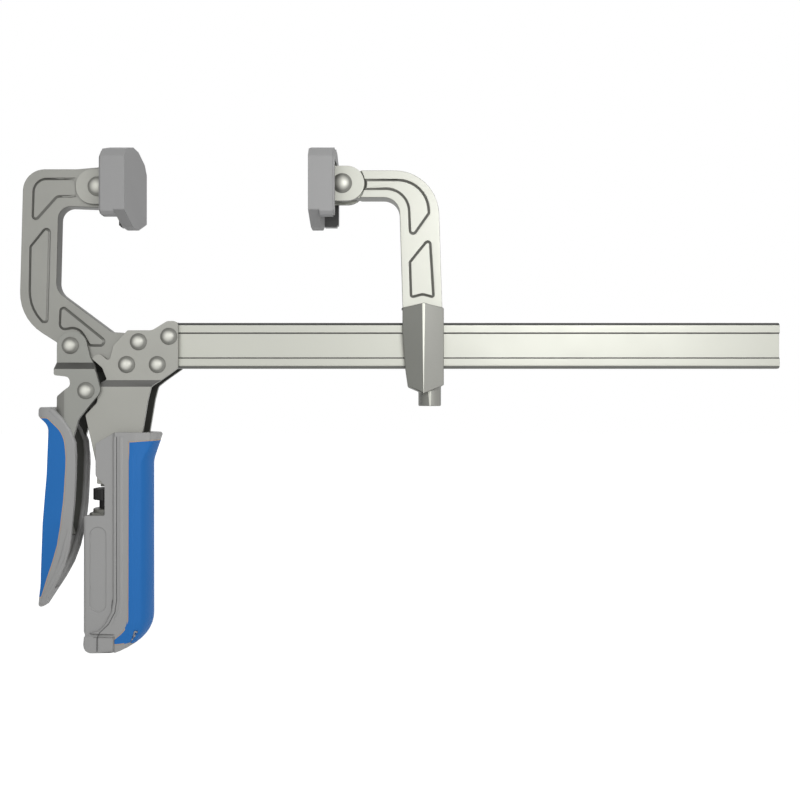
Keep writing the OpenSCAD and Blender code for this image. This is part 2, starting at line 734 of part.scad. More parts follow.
// A jaw pad whose working face looks towards +X
module pad() {
    face = rounded([for (c = both_halves(pad_face_half_shares)) c * pad_width]);
    body = rounded([for (c = both_halves(pad_body_half_shares)) c * pad_width]);
    low = -pad_width;
    back = pad_depth - pad_back_chamfer;
    shrink = 1 - 2 * pad_back_chamfer / pad_width;
    difference() {
        union() {
            along_bar(-pad_face_thickness, 0) polygon(face);
            along_bar(-back, -pad_face_thickness) polygon(body);
            along_bar(-pad_depth, -back) polygon(shrink * body);
        }
        translate([-pad_depth - overrun, -pad_hollow_half_width, low])
            cube([pad_depth + overrun - pad_face_thickness, 2 * pad_hollow_half_width, pad_hollow_top - low]);
    }
}

// The folded bracket that carries a pad, with its pivot at the given setback and height
module pad_bracket(setback, height) {
    web_back = pad_face_thickness + bracket_web;
    end = [-setback - ear_end_setback, height];
    difference() {
        union() {
            translate([-web_back, -upper_out, height - ear_half_height])
                cube([bracket_web, 2 * upper_out, 2 * ear_half_height]);
            for (near = [-upper_out, upper_in]) {
                translate([end[0], near, height - ear_half_height])
                    cube([-end[0] - pad_face_thickness, plate_thickness, 2 * ear_half_height]);
                across(end, ear_half_height, near, near + plate_thickness);
            }
        }
        across([-setback, height], rivet_radius + running_gap, -lower_out, lower_out);
    }
}

module facing_left() {
    translate([jaw_gap, 0, 0]) mirror([1, 0, 0]) children();
}

module fixed_pad() {
    color("grey") pad();
}

module fixed_pad_bracket() {
    color("silver") pad_bracket(fixed_pivot_setback, fixed_pivot_z);
}

module sliding_pad() {
    color("grey") facing_left() pad();
}

module sliding_pad_bracket() {
    color("silver") facing_left() pad_bracket(sliding_pivot_setback, sliding_pivot_z);
}

// Corners of the folded back of the yoke from its lower end up, moved right by the shift
function yoke_back(shift) =
    [for (c = placed([for (i = [10:13]) yoke_shares[i]], lever_pivot, lever_yoke_length))
        [c[0] + shift, c[1], c[2]]];

// The space between the yoke's cheeks, to the right of its folded back
module yoke_inside() {
    back = yoke_back(yoke_back_thickness);
    back_top_z = back[3][1] - yoke_back_thickness;
    side = [lever_pivot[0] - lever_yoke_length, lever_pivot[0] + lever_yoke_length];
    inner = bent_face(upper_in, yoke_in - upper_in, lever_joggle_z - bend_lag(yoke_in - upper_in));
    intersection() {
        along_bar(side[0], side[1]) polygon(rounded(both_halves(inner)));
        core(rounded([
            [back[0][0], deep_z, 0], [back[0][0], back[0][1], 0], back[1], back[2],
            [back[3][0], back_top_z, 0], [side[0] + overrun, back_top_z, 0], [side[0] + overrun, -overrun, 0],
            [side[1] - overrun, -overrun, 0], [side[1] - overrun, deep_z, 0]
        ]), yoke_out);
    }
}

// The tongue that the grip narrows to, or one that lies deeper by the inset
module lever_tongue(inset) {
    half = [for (s = tongue_shares) [
        s[0] * lever_grip_half_width - inset,
        lever_pivot[1] + s[1] * lever_grip_length + inset,
        s[2] * lever_grip_length
    ]];
    along_bar(lever_pivot[0] - lever_yoke_length, lever_pivot[0] + lever_yoke_length)
        polygon(rounded(both_halves(half)));
}

module lever_yoke() {
    outline = rounded(placed(yoke_shares, lever_pivot, lever_yoke_length));
    outer = bent_face(upper_out, yoke_in - upper_in, lever_joggle_z);
    color("darkgrey") difference() {
        intersection() {
            core(outline, yoke_out + overrun);
            along_bar(lever_pivot[0] - lever_yoke_length, lever_pivot[0] + lever_yoke_length)
                polygon(rounded(both_halves(outer)));
            lever_tongue(lever_grip_half_width - yoke_out);
        }
        yoke_inside();
        across(lever_pivot, pivot_rivet_radius + running_gap, -yoke_out, yoke_out);
        across(link_pivot, pivot_rivet_radius, -yoke_out - overrun, yoke_out + overrun);
    }
}

// The lever grip's outer skin, or a skin that lies deeper by the inset
module lever_skin(inset) {
    outline = rounded(placed(lever_grip_shares, lever_pivot, lever_grip_length));
    left = lever_pivot[0] + lever_grip_shares[7][0] * lever_grip_length;
    half = lever_grip_half_width - inset;
    intersection() {
        core([for (p = outline) [p[0] + inset, p[1]]], lever_grip_half_width + overrun);
        upright_section(near_and_far([
            [left - overrun + inset, half, lever_edge_radius - inset], [lever_grip_length, half, 0]
        ]));
        lever_tongue(inset);
    }
}

module lever_inlay_space() {
    difference() {
        core(rounded(placed(lever_inlay_shares, lever_pivot, lever_grip_length)),
            lever_grip_half_width + 2 * overrun);
        lever_skin(inlay_thickness);
    }
}

module lever_grip_shell() {
    back = yoke_back(0);
    low = back[0] + (back[0] - back[1]) * hollow_share;
    right = lever_pivot[0] + lever_grip_length;
    color("darkgrey") difference() {
        lever_skin(0);
        lever_inlay_space();
        intersection() {
            core(rounded([
                [right, low[1], 0], [low[0], low[1], 0], back[1], back[2], [back[3][0], back[3][1], 0],
                [right, back[3][1], 0]
            ]), yoke_out);
            lever_tongue(lever_grip_half_width - yoke_out);
        }
    }
}

module lever_grip_inlay() {
    color("royalblue") intersection() {
        lever_skin(0);
        lever_inlay_space();
    }
}

module link_rivet() {
    color("lightgrey") rivet(link_pivot, pivot_rivet_radius, rivet_head_radius, yoke_out);
}

module toggle_link() {
    along = unit(foot - link_pivot);
    aside = [-along[1], along[0]] * link_width / 2;
    color("grey") difference() {
        union() {
            core([link_pivot - aside, foot - aside, foot + aside, link_pivot + aside], link_half_thickness);
            across(link_pivot, link_barrel_radius, side_gap - yoke_in, yoke_in - side_gap);
            across(foot, foot_radius, -link_half_thickness, link_half_thickness);
        }
        across(link_pivot, pivot_rivet_radius + running_gap, -yoke_in, yoke_in);
        across(foot, foot_pin_radius, -yoke_in, yoke_in);
    }
}

module link_foot_pin() {
    reach = lower_in - 2 * side_gap;
    color("lightgrey") across(foot, foot_pin_radius, -reach, reach);
}

ridge_x = sliding_pad_pivot[0] + ridge_share * sliding_jaw_height;
lug_centre_x = ridge_x + lug_share * sliding_head_height;

// The head around the bar: a ridge up each side, and the round lug under it
module sliding_head() {
    outline = rounded(placed(head_shares, [ridge_x, bar_centre_z], sliding_head_height));
    left = ridge_x + head_shares[0][0] * sliding_head_height - overrun;
    right = ridge_x + head_shares[2][0] * sliding_head_height + overrun;
    intersection() {
        core(outline, head_ridge_half_width + overrun);
        upright_section(near_and_far([
            [left, head_side_half_width, 0], [ridge_x, head_ridge_half_width, 0],
            [right, head_side_half_width, 0]
        ]));
    }
    upright(lug_centre_x, lug_radius, lug_bottom_z, bar_bottom_z - 2 * slot_gap);
}

// The arm with its pockets, down into the head
module sliding_arm() {
    end_z = bar_centre_z + head_shares[0][1] * sliding_head_height - 2 * overrun;
    ends = [for (x = arm_end_shares) [sliding_pad_pivot[0] + x * sliding_jaw_height, end_z, 0]];
    half = sliding_arm_thickness / 2;
    pocket_floor = half - sliding_pocket_depth;
    difference() {
        core(rounded(concat(ends, placed(sliding_arm_shares, sliding_pad_pivot, sliding_jaw_height))), half);
        for (shares = [curved_pocket_shares, lower_pocket_shares]) {
            pocket = rounded(placed(shares, sliding_pad_pivot, sliding_jaw_height));
            slab(pocket, pocket_floor, half + overrun);
            slab(pocket, -half - overrun, -pocket_floor);
        }
        across(sliding_pad_pivot, ear_relief_radius, core_half, half + overrun);
        across(sliding_pad_pivot, ear_relief_radius, -half - overrun, -core_half);
    }
}

module sliding_jaw() {
    slot_half = core_half + slot_gap;
    color("gainsboro") difference() {
        union() {
            sliding_arm();
            across(sliding_pad_pivot, sliding_eye_radius, -core_half, core_half);
            sliding_head();
        }
        across(sliding_pad_pivot, rivet_radius, -upper_out, upper_out);
        translate([sliding_pad_pivot[0], -slot_half, bar_bottom_z - slot_gap])
            cube([sliding_jaw_height, 2 * slot_half, bar_height + 2 * slot_gap]);
        upright(lug_centre_x, brake_bore_radius, lug_bottom_z - overrun, bar_centre_z);
    }
}

module sliding_pad_rivet() {
    color("lightgrey") rivet(sliding_pad_pivot, rivet_radius, pad_rivet_head_radius, upper_out + head_gap);
}

plunger_top_z = bar_bottom_z - slot_gap;
// Free gap around the plunger in its bore
slide_gap = side_gap / 4;

module brake_plunger() {
    color("black")
        upright(lug_centre_x, brake_bore_radius - slide_gap, plunger_top_z - plunger_length, plunger_top_z);
}

module brake_set_screw() {
    color("grey") difference() {
        upright(lug_centre_x, brake_bore_radius, lug_bottom_z, lug_bottom_z + set_screw_length);
        translate([lug_centre_x, 0, lug_bottom_z - overrun])
            cylinder(h = set_screw_length / 2, r = brake_bore_radius / 2, $fn = 6);
    }
}

module brake_spring() {
    bottom = lug_bottom_z + set_screw_length;
    height = plunger_top_z - plunger_length - bottom;
    color("silver") translate([lug_centre_x, 0, bottom])
        coil(brake_bore_radius - 2 * spring_wire_radius, spring_wire_radius, spring_turns, height);
}

frame_plate_front();
frame_plate_back();
bar();
frame_rivets();
arm_pivot_rivet();
frame_spacer();
handle_shell_front();
handle_shell_back();
handle_grip_inlay();
adjuster_collar();
adjuster_knob();
adjuster_screw();
screw_retainer();
pressure_carriage();
jaw_arm();
lever_pivot_rivet();
fixed_pad_rivet();
fixed_pad();
fixed_pad_bracket();
lever_yoke();
lever_grip_shell();
lever_grip_inlay();
link_rivet();
toggle_link();
link_foot_pin();
sliding_jaw();
sliding_pad_rivet();
sliding_pad();
sliding_pad_bracket();
brake_plunger();
brake_spring();
brake_set_screw();
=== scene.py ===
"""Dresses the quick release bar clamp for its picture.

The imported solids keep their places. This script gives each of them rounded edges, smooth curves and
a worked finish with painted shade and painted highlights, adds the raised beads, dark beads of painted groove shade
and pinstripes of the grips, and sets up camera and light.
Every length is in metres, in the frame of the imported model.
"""

import json
import logging
import math
from dataclasses import dataclass, field
from enum import Enum
from typing import Callable, Iterable, Sequence, Union

import bmesh
import bpy
from mathutils import Matrix, Vector


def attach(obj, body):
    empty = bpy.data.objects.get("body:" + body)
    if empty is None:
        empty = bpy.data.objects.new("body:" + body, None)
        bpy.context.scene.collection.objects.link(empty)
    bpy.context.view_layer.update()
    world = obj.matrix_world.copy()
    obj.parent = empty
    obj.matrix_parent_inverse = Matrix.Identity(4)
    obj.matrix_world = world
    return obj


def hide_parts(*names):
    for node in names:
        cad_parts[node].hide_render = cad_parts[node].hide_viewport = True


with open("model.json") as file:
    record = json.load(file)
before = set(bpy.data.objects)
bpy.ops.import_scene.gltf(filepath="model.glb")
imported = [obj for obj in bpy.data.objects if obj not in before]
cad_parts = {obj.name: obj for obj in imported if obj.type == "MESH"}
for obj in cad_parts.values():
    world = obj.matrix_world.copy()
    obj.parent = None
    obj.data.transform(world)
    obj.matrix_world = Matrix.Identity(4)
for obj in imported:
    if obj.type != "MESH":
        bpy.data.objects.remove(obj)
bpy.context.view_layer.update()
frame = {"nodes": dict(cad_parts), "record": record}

MM = 0.001
log = logging.getLogger("clamp")
Number = Union[float, "Value"]
Colour = tuple[float, float, float]


class Slot(Enum):
    """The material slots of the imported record."""

    PLATE = "plate_steel"
    BAR = "bar_steel"
    RIVET = "rivet_steel"
    DARK = "dark_steel"
    ARM = "arm_steel"
    YOKE = "yoke_steel"
    CASTING = "jaw_casting"
    PAD = "pad_plastic"
    SHELL = "grey_plastic"
    SOFT = "blue_rubber"
    KNOB = "knob_plastic"
    COLLAR = "collar_plastic"
    SPRING = "spring_steel"


class Side(Enum):
    """Which way a face looks: towards the viewer of the front or away from it."""

    FRONT = -1.0
    BACK = 1.0


def srgb(red: int, green: int, blue: int) -> Colour:
    """Turns display values from 0 to 255 into a linear colour.

    Args:
        red: Display value of red.
        green: Display value of green.
        blue: Display value of blue.

    Returns:
        The linear colour.
    """

    def linear(value: int) -> float:
        """Linear value of one channel."""
        share = value / 255
        return share / 12.92 if share <= 0.04045 else ((share + 0.055) / 1.055) ** 2.4

    return linear(red), linear(green), linear(blue)


class Value:
    """A number that varies over a surface; Python's operators add the Math nodes."""

    def __init__(self, graph: "Graph", socket: bpy.types.NodeSocket) -> None:
        """Wraps an output socket of the graph."""
        self.graph = graph
        self.socket = socket

    def _math(self, operation: str, first: Number, second: Number = 0.0, clamp: bool = False) -> "Value":
        """Adds one Math node.

        Args:
            operation: The node's operation.
            first: Its first value.
            second: Its second value.
            clamp: Whether the result is held between 0 and 1.

        Returns:
            The node's result.
        """
        node = self.graph.node("ShaderNodeMath", {"operation": operation, "use_clamp": clamp}, {0: first, 1: second})
        return Value(self.graph, node.outputs[0])

    def __add__(self, other: Number) -> "Value":
        """Sum."""
        return self._math("ADD", self, other)

    def __radd__(self, other: Number) -> "Value":
        """Sum, the other way round."""
        return self._math("ADD", other, self)

    def __sub__(self, other: Number) -> "Value":
        """Difference."""
        return self._math("SUBTRACT", self, other)

    def __rsub__(self, other: Number) -> "Value":
        """Difference, the other way round."""
        return self._math("SUBTRACT", other, self)

    def __mul__(self, other: Number) -> "Value":
        """Product."""
        return self._math("MULTIPLY", self, other)

    def __rmul__(self, other: Number) -> "Value":
        """Product, the other way round."""
        return self._math("MULTIPLY", other, self)

    def __pow__(self, other: Number) -> "Value":
        """Power."""
        return self._math("POWER", self, other)

    def held(self) -> "Value":
        """The value held between 0 and 1."""
        return self._math("ADD", self, 0.0, clamp=True)

    def step(self, low: float, high: float) -> "Value":
        """A ramp from 0 at low to 1 at high, held between them.

        Args:
            low: Where the ramp leaves 0.
            high: Where it reaches 1.

        Returns:
            The ramp.
        """
        return ((self - low) * (1.0 / (high - low))).held()


class Graph:
    """The node tree of one material."""

    def __init__(self, name: str) -> None:
        """Starts an empty material."""
        self.material = bpy.data.materials.new(name)
        self.material.use_nodes = True
        self.tree = self.material.node_tree
        self.tree.nodes.clear()

    def node(self, kind: str, settings: dict | None = None, inputs: dict | None = None) -> bpy.types.Node:
        """Adds a node.

        Args:
            kind: The node's type.
            settings: Attributes that are set first.
            inputs: Values, sockets or Values, by the input's name or number.

        Returns:
            The node.
        """
        node = self.tree.nodes.new(kind)
        for key, value in (settings or {}).items():
            setattr(node, key, value)
        for key, value in (inputs or {}).items():
            socket = node.inputs[key]
            if isinstance(value, Value):
                value = value.socket
            if isinstance(value, bpy.types.NodeSocket):
                self.tree.links.new(value, socket)
            elif isinstance(value, tuple) and socket.type == "RGBA":
                socket.default_value = (*value, 1.0)
            else:
                socket.default_value = value
        return node

    def place(self) -> bpy.types.NodeSocket:
        """The point on the piece, in metres."""
        return self.node("ShaderNodeTexCoord").outputs["Object"]

    def noise(self, scale: float, detail: float = 4.0, stretch: Colour = (1.0, 1.0, 1.0)) -> Value:
        """Noise over the piece.

        Args:
            scale: Waves in a metre.
            detail: Octaves.
            stretch: How much faster it changes along each axis.

        Returns:
            A value around 0.5.
        """
        placed = self.node("ShaderNodeMapping", {}, {"Vector": self.place(), "Scale": stretch})
        made = self.node("ShaderNodeTexNoise", {}, {"Vector": placed.outputs[0], "Scale": scale, "Detail": detail})
        return Value(self, made.outputs["Fac"])

    def along(self, axis: str) -> Value:
        """The place along one axis.

        Args:
            axis: "X", "Y" or "Z".

        Returns:
            The coordinate, in metres.
        """
        return Value(self, self.node("ShaderNodeSeparateXYZ", {}, {"Vector": self.place()}).outputs[axis])

    def blend(self, share: Number, first: object, second: object) -> bpy.types.NodeSocket:
        """Mixes two colours.

        Args:
            share: How much of the second.
            first: A colour or a socket.
            second: A colour or a socket.

        Returns:
            The mixed colour.
        """
        node = self.node("ShaderNodeMix", {"data_type": "RGBA"}, {0: share, 6: first, 7: second})
        return node.outputs[2]

    def edges(self, radius: float, reach: float) -> tuple[bpy.types.NodeSocket, Value]:
        """Rounds the edges' shading and finds them.

        Args:
            radius: Radius of the rounding.
            reach: How strongly an edge counts.

        Returns:
            The rounded normal, and 1 on edges and 0 on flats.
        """
        rounded = self.node("ShaderNodeBevel", {"samples": 6}, {"Radius": radius}).outputs["Normal"]
        plain = self.node("ShaderNodeNewGeometry").outputs["Normal"]
        dot = self.node("ShaderNodeVectorMath", {"operation": "DOT_PRODUCT"}, {0: rounded, 1: plain})
        return rounded, ((1.0 - Value(self, dot.outputs["Value"])) * reach).held()

    def turned(self, low: float, high: float) -> Value:
        """Finds the surface that is turned away from the clamp's two broad sides.

        Args:
            low: The turn that starts to count, from 0 for a broad side.
            high: The turn that counts fully, up to 1 for an edge.

        Returns:
            1 where the surface is turned away and 0 on the broad sides.
        """
        normal = self.node("ShaderNodeNewGeometry").outputs["Normal"]
        across = self.node("ShaderNodeVectorMath", {"operation": "DOT_PRODUCT"}, {0: normal, 1: (0.0, 1.0, 0.0)})
        return (1.0 - self._unsigned(Value(self, across.outputs["Value"]))).step(low, high)

    def _unsigned(self, value: Value) -> Value:
        """The size of a value without its sign."""
        return value._math("ABSOLUTE", value)

    def finish(self, **surface: object) -> bpy.types.Material:
        """Ends the tree in a principled surface.

        Args:
            surface: Values of its inputs; an underscore stands for a space.

        Returns:
            The material.
        """
        inputs = {key.replace("_", " "): value for key, value in surface.items()}
        made = self.node("ShaderNodeBsdfPrincipled", {}, inputs)
        self.node("ShaderNodeOutputMaterial", {}, {"Surface": made.outputs[0]})
        return self.material


@dataclass(frozen=True)
class MetalFinish:
    """A plated, rolled or cast metal surface, with painted shade on faces turned away from the broad sides."""

    name: str
    slot: Slot
    colour: Colour
    metallic: float = 0.3
    roughness: float = 0.42
    grain: Colour = (1.0, 1.0, 1.0)
    grain_scale: float = 900.0
    grain_depth: float = 0.02 * MM
    mottle: float = 0.1
    edge_radius: float = 0.3 * MM
    edge_gain: float = 0.2
    turned_shade: float = 0.35
    turned_from: float = 0.03
    turned_full: float = 0.4

    def build(self) -> bpy.types.Material:
        """Makes the material."""
        graph = Graph(self.name)
        normal, edge = graph.edges(self.edge_radius, 3.0)
        grain = graph.noise(self.grain_scale, 3.0, self.grain)
        cloud = graph.noise(45.0, 5.0)
        darker = tuple(c * 0.8 for c in self.colour)
        brighter = tuple(min(1.0, c * 1.35 + 0.05) for c in self.colour)
        colour = graph.blend(cloud.step(0.35, 0.7) * self.mottle + grain * self.mottle, self.colour, darker)
        colour = graph.blend(edge * self.edge_gain, colour, brighter)
        # Painted shade: faces turned away from the broad sides are mixed towards a dark copy of the colour, so rounded
        # edges, walls and dome rims look shaded
        painted_shade_colour = tuple(c * 0.16 for c in self.colour)
        colour = graph.blend(graph.turned(self.turned_from, self.turned_full) * self.turned_shade, colour, painted_shade_colour)
        bump = graph.node("ShaderNodeBump", {}, {
            "Strength": 0.5, "Distance": self.grain_depth, "Height": grain, "Normal": normal,
        })
        return graph.finish(
            Base_Color=colour,
            Metallic=self.metallic,
            Roughness=(cloud * 0.12 + grain * 0.1 + (self.roughness - 0.11)).held(),
            Normal=bump.outputs[0],
        )


@dataclass(frozen=True)
class MouldedFinish:
    """A moulded plastic or rubber surface with a fine grain."""

    name: str
    slot: Slot
    colour: Colour
    roughness: float = 0.5
    grain_scale: float = 2600.0
    grain_depth: float = 0.03 * MM
    mottle: float = 0.08
    edge_radius: float = 0.5 * MM
    edge_gain: float = 0.12

    def build(self) -> bpy.types.Material:
        """Makes the material."""
        graph = Graph(self.name)
        normal, edge = graph.edges(self.edge_radius, 2.5)
        grain = graph.noise(self.grain_scale, 2.0)
        cloud = graph.noise(30.0, 4.0)
        darker = tuple(c * 0.75 for c in self.colour)
        brighter = tuple(min(1.0, c * 1.3 + 0.04) for c in self.colour)
        colour = graph.blend(cloud.step(0.3, 0.75) * self.mottle, self.colour, darker)
        colour = graph.blend(edge * self.edge_gain, colour, brighter)
        bump = graph.node("ShaderNodeBump", {}, {
            "Strength": 0.6, "Distance": self.grain_depth, "Height": grain, "Normal": normal,
        })
        return graph.finish(
            Base_Color=colour,
            Roughness=(cloud * 0.1 + grain * 0.12 + (self.roughness - 0.11)).held(),
            Normal=bump.outputs[0],
        )


class Finishes:
    """Makes each finish once."""

    plate = MetalFinish("satin plated plate", Slot.PLATE, srgb(172, 172, 165))
    # Painted shade: the slope of the plates' bend takes a dark copy of the plate's colour
    bend = MetalFinish("shaded bend", Slot.PLATE, srgb(96, 96, 93), edge_gain=0.0, turned_shade=0.2)
    # Painted shade: the faces that look at the other plate are dark as if in shadow
    inner = MetalFinish("painted shade, plate's inner face", Slot.PLATE, srgb(52, 53, 48), roughness=0.6, metallic=0.1, edge_gain=0.1)
    bar = MetalFinish("bright rolled bar", Slot.BAR, srgb(204, 205, 195), metallic=0.3, roughness=0.42,
                      grain=(0.03, 1.0, 1.0), grain_scale=2200.0, grain_depth=0.01 * MM, mottle=0.05, turned_shade=0.8,
                      edge_gain=0.0)
    # Painted shade: the bar's rounded top and lower edges and its groove walls take darker copies of its colour
    bar_top_shade = MetalFinish("painted shade, bar's top edge", Slot.BAR, srgb(72, 72, 70), edge_gain=0.0, turned_shade=0.0)
    bar_low_shade = MetalFinish("painted shade, bar's lower edge", Slot.BAR, srgb(112, 113, 108), edge_gain=0.0, turned_shade=0.0)
    bar_groove_shade = MetalFinish("painted shade, bar's groove wall", Slot.BAR, srgb(84, 84, 81), edge_gain=0.0, turned_shade=0.0)
    # Painted shade and painted highlight: the dome darkens steeply towards its rim, leaving its middle bright
    rivet = MetalFinish("satin rivet", Slot.RIVET, srgb(224, 224, 215), metallic=0.5, roughness=0.5,
                        mottle=0.04, grain_depth=0.005 * MM, turned_shade=0.8, turned_from=0.0, turned_full=0.17,
                        edge_gain=0.0)
    dark = MetalFinish("oiled steel", Slot.DARK, srgb(105, 105, 100), roughness=0.4)
    arm = MetalFinish("satin forged arm", Slot.ARM, srgb(156, 156, 150), grain_scale=1400.0, edge_gain=0.0,
                      turned_shade=0.75)
    # Painted shade: the walls of the arm's pockets are darker as if in shade
    arm_recess_shade = MetalFinish("painted shade, forged recess wall", Slot.ARM, srgb(112, 112, 107), edge_gain=0.0, turned_shade=0.2)
    yoke = MetalFinish("satin pressed yoke", Slot.YOKE, srgb(156, 157, 151))
    # Painted shade: the folded edge of the cheeks takes a darker copy of the yoke's colour
    fold = MetalFinish("painted shade, fold of the yoke", Slot.YOKE, srgb(132, 132, 127), edge_gain=0.0, turned_shade=0.2)
    # Painted shade: the faces that look at the other cheek are dark as if in shadow
    yoke_inner_shade = MetalFinish("painted shade, inner cheek", Slot.YOKE, srgb(92, 93, 88), roughness=0.6, metallic=0.1,
                             edge_gain=0.1)
    casting = MetalFinish("satin casting", Slot.CASTING, srgb(212, 213, 203), metallic=0.25, roughness=0.42,
                          grain_scale=1100.0, mottle=0.06, edge_gain=0.0, turned_shade=0.8, turned_from=0.02)
    # Painted shade: the walls of the casting's pockets are darker as if in shade
    cast_recess_shade = MetalFinish("painted shade, cast recess wall", Slot.CASTING, srgb(118, 118, 112), edge_gain=0.0, turned_shade=0.1)
    # Painted shade: the head's left facet is darker and its right facet less dark, as if lit from the right
    head_left_shade = MetalFinish("painted shade, head's left facet", Slot.CASTING, srgb(122, 123, 117), turned_shade=0.0, edge_gain=0.0)
    head_right_shade = MetalFinish("painted shade, head's right facet", Slot.CASTING, srgb(150, 150, 144), turned_shade=0.0, edge_gain=0.0)
    # Painted highlight: the flat bevel along the head's ridge is nearly white
    ridge = MetalFinish("painted highlight, head's ridge", Slot.CASTING, srgb(226, 227, 216), turned_shade=0.0, edge_gain=0.0)
    spring = MetalFinish("drawn wire", Slot.SPRING, srgb(150, 150, 150))
    pad = MouldedFinish("grey pad", Slot.PAD, srgb(172, 172, 172), roughness=0.6)
    # Painted shade: the hollow in the pad's back is dark as if in shade
    pad_hollow_shade = MouldedFinish("painted shade, pad hollow", Slot.PAD, srgb(70, 70, 70), roughness=0.7)
    shell = MouldedFinish("grey grip shell", Slot.SHELL, srgb(176, 176, 175))
    soft = MouldedFinish("soft blue grip", Slot.SOFT, srgb(24, 118, 200), roughness=0.62, mottle=0.05, edge_gain=0.0)
    stripe = MouldedFinish("tan pinstripe", Slot.SHELL, srgb(206, 180, 152), edge_gain=0.0)
    groove = MouldedFinish("groove shade", Slot.SHELL, srgb(98, 98, 98), edge_gain=0.0)
    knob = MouldedFinish("black knob", Slot.KNOB, srgb(8, 8, 8), roughness=0.7, edge_gain=0.05)
    collar = MouldedFinish("collar", Slot.COLLAR, srgb(118, 118, 112), roughness=0.45)

    def __init__(self) -> None:
        """Starts with nothing made."""
        self._made: dict[str, bpy.types.Material] = {}

    def get(self, finish: Union[MetalFinish, MouldedFinish]) -> bpy.types.Material:
        """The material of a finish.

        Args:
            finish: The finish.

        Returns:
            Its material, made at the first call.
        """
        if finish.name not in self._made:
            self._made[finish.name] = finish.build()
        return self._made[finish.name]


Finish = Union[MetalFinish, MouldedFinish]


@dataclass
class SubAssembly:
    """Shared work of the sub-assemblies."""

    finishes: Finishes
    smooth_angle: float = math.radians(33)
    tight_corner: float = 0.24 * MM

    def body_of(self, node: str) -> str:
        """The body that carries a node of the model."""
        bodies = frame["record"]["behaviour"]["bodies"]
        return next(body for body, nodes in bodies.items() if node in nodes)

    def add(self, made: bmesh.types.BMesh, name: str, finish: Union[Finish, Sequence[Finish]],
            body: str, stands_for: Iterable[str] = ()) -> bpy.types.Object:
        """Turns a bmesh into a piece.

        Args:
            made: The shape; it is freed.
            name: Name of the piece.
            finish: Its finish, or one for each material number.
            body: The body that it rides on.
            stands_for: The nodes that it replaces.

        Returns:
            The piece.
        """
        for face in made.faces:
            face.smooth = True
        for edge in made.edges:
            edge.smooth = len(edge.link_faces) == 2 and edge.calc_face_angle() < self.smooth_angle
        mesh = bpy.data.meshes.new(name)
        made.to_mesh(mesh)
        made.free()
        several = (finish,) if isinstance(finish, (MetalFinish, MouldedFinish)) else finish
        for one in several:
            mesh.materials.append(self.finishes.get(one))
        piece = bpy.data.objects.new(name, mesh)
        bpy.context.scene.collection.objects.link(piece)
        flats = piece.modifiers.new("flat faces stay flat", "WEIGHTED_NORMAL")
        flats.keep_sharp = True
        flats.weight = 100
        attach(piece, body)
        names = list(stands_for)
        if names:
            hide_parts(*names)
        log.info("%s: %d faces on %s", name, len(mesh.polygons), body)
        return piece

    def merged(self, node: str) -> bmesh.types.BMesh:
        """A closed copy of a node's mesh with its flats in one face each.

        Args:
            node: Name of the node.

        Returns:
            The copy.
        """
        made = bmesh.new()
        made.from_mesh(frame["nodes"][node].data)
        bmesh.ops.remove_doubles(made, verts=made.verts, dist=0.001 * MM)
        bmesh.ops.dissolve_limit(
            made, angle_limit=math.radians(0.5), use_dissolve_boundaries=False, verts=made.verts, edges=made.edges
        )
        return made

    def soften(self, made: bmesh.types.BMesh, width: float, segments: int = 2,
               sharp: float = math.radians(38), clamp: bool = True) -> None:
        """Rounds the sharp edges of a shape.

        Args:
            made: The shape.
            width: Width of the rounding.
            segments: Flats in the rounding.
            sharp: Edges with a larger angle are rounded.
            clamp: Whether the whole rounding narrows where two edges lie close.
        """
        hard = [e for e in made.edges if len(e.link_faces) == 2 and e.calc_face_angle() > sharp]
        bmesh.ops.bevel(made, geom=hard, offset=width, offset_type="OFFSET", segments=segments, profile=0.5,
                        affect="EDGES", clamp_overlap=clamp, material=-1)

    def mark(self, made: bmesh.types.BMesh, number: int, test: Callable[[Vector, Vector], bool]) -> None:
        """Gives the faces that pass a test another finish.

        Args:
            made: The shape.
            number: The finish's number.
            test: Takes a face's centre and normal.
        """
        for face in made.faces:
            if test(face.calc_center_median(), face.normal):
                face.material_index = number

    def refined(self, node: str, finish: Union[Finish, Sequence[Finish]], width: float = 0.4 * MM, segments: int = 2,
                sharp: float = math.radians(38), marks: Sequence[Callable[[Vector, Vector], bool]] = ()
                ) -> bpy.types.Object:
        """Replaces a node by a copy with rounded edges.

        Args:
            node: Name of the node.
            finish: Its finish, or its main finish and one for each test.
            width: Width of the rounding.
            segments: Flats in the rounding.
            sharp: Edges with a larger angle are rounded.
            marks: Tests of a face's centre and normal, one for each further finish.

        Returns:
            The piece.
        """
        made = self.merged(node)
        for number, test in enumerate(marks):
            self.mark(made, number + 1, test)
        self.soften(made, width, segments, sharp)
        return self.add(made, node + "_finished", finish, self.body_of(node), [node])

    def pocketed(self, node: str, floor: float, face: float, draft: float) -> bmesh.types.BMesh:
        """A copy of a node whose pockets have slanted walls, which take finish number 1.

        Args:
            node: Name of the node.
            floor: Distance of the pockets' floors from the middle plane.
            face: Distance of the broad faces.
            draft: Width of a slanted wall.

        Returns:
            The copy.
        """
        made = self.merged(node)
        level = 0.02 * MM

        def found() -> list[bmesh.types.BMFace]:
            """The pockets' floors."""
            return [
                f for f in made.faces
                if abs(f.normal.y) > 0.99 and all(abs(abs(v.co.y) - floor) < level for v in f.verts)
            ]

        bmesh.ops.remove_doubles(made, verts=list({v for f in found() for v in f.verts}), dist=self.tight_corner)
        made.normal_update()
        floors = found()
        rims = {v for f in floors for v in f.verts}
        ring = bmesh.ops.inset_region(made, faces=floors, thickness=draft, depth=0.0, use_even_offset=True)["faces"]
        for vert in rims:
            vert.co.y = math.copysign(face, vert.co.y)
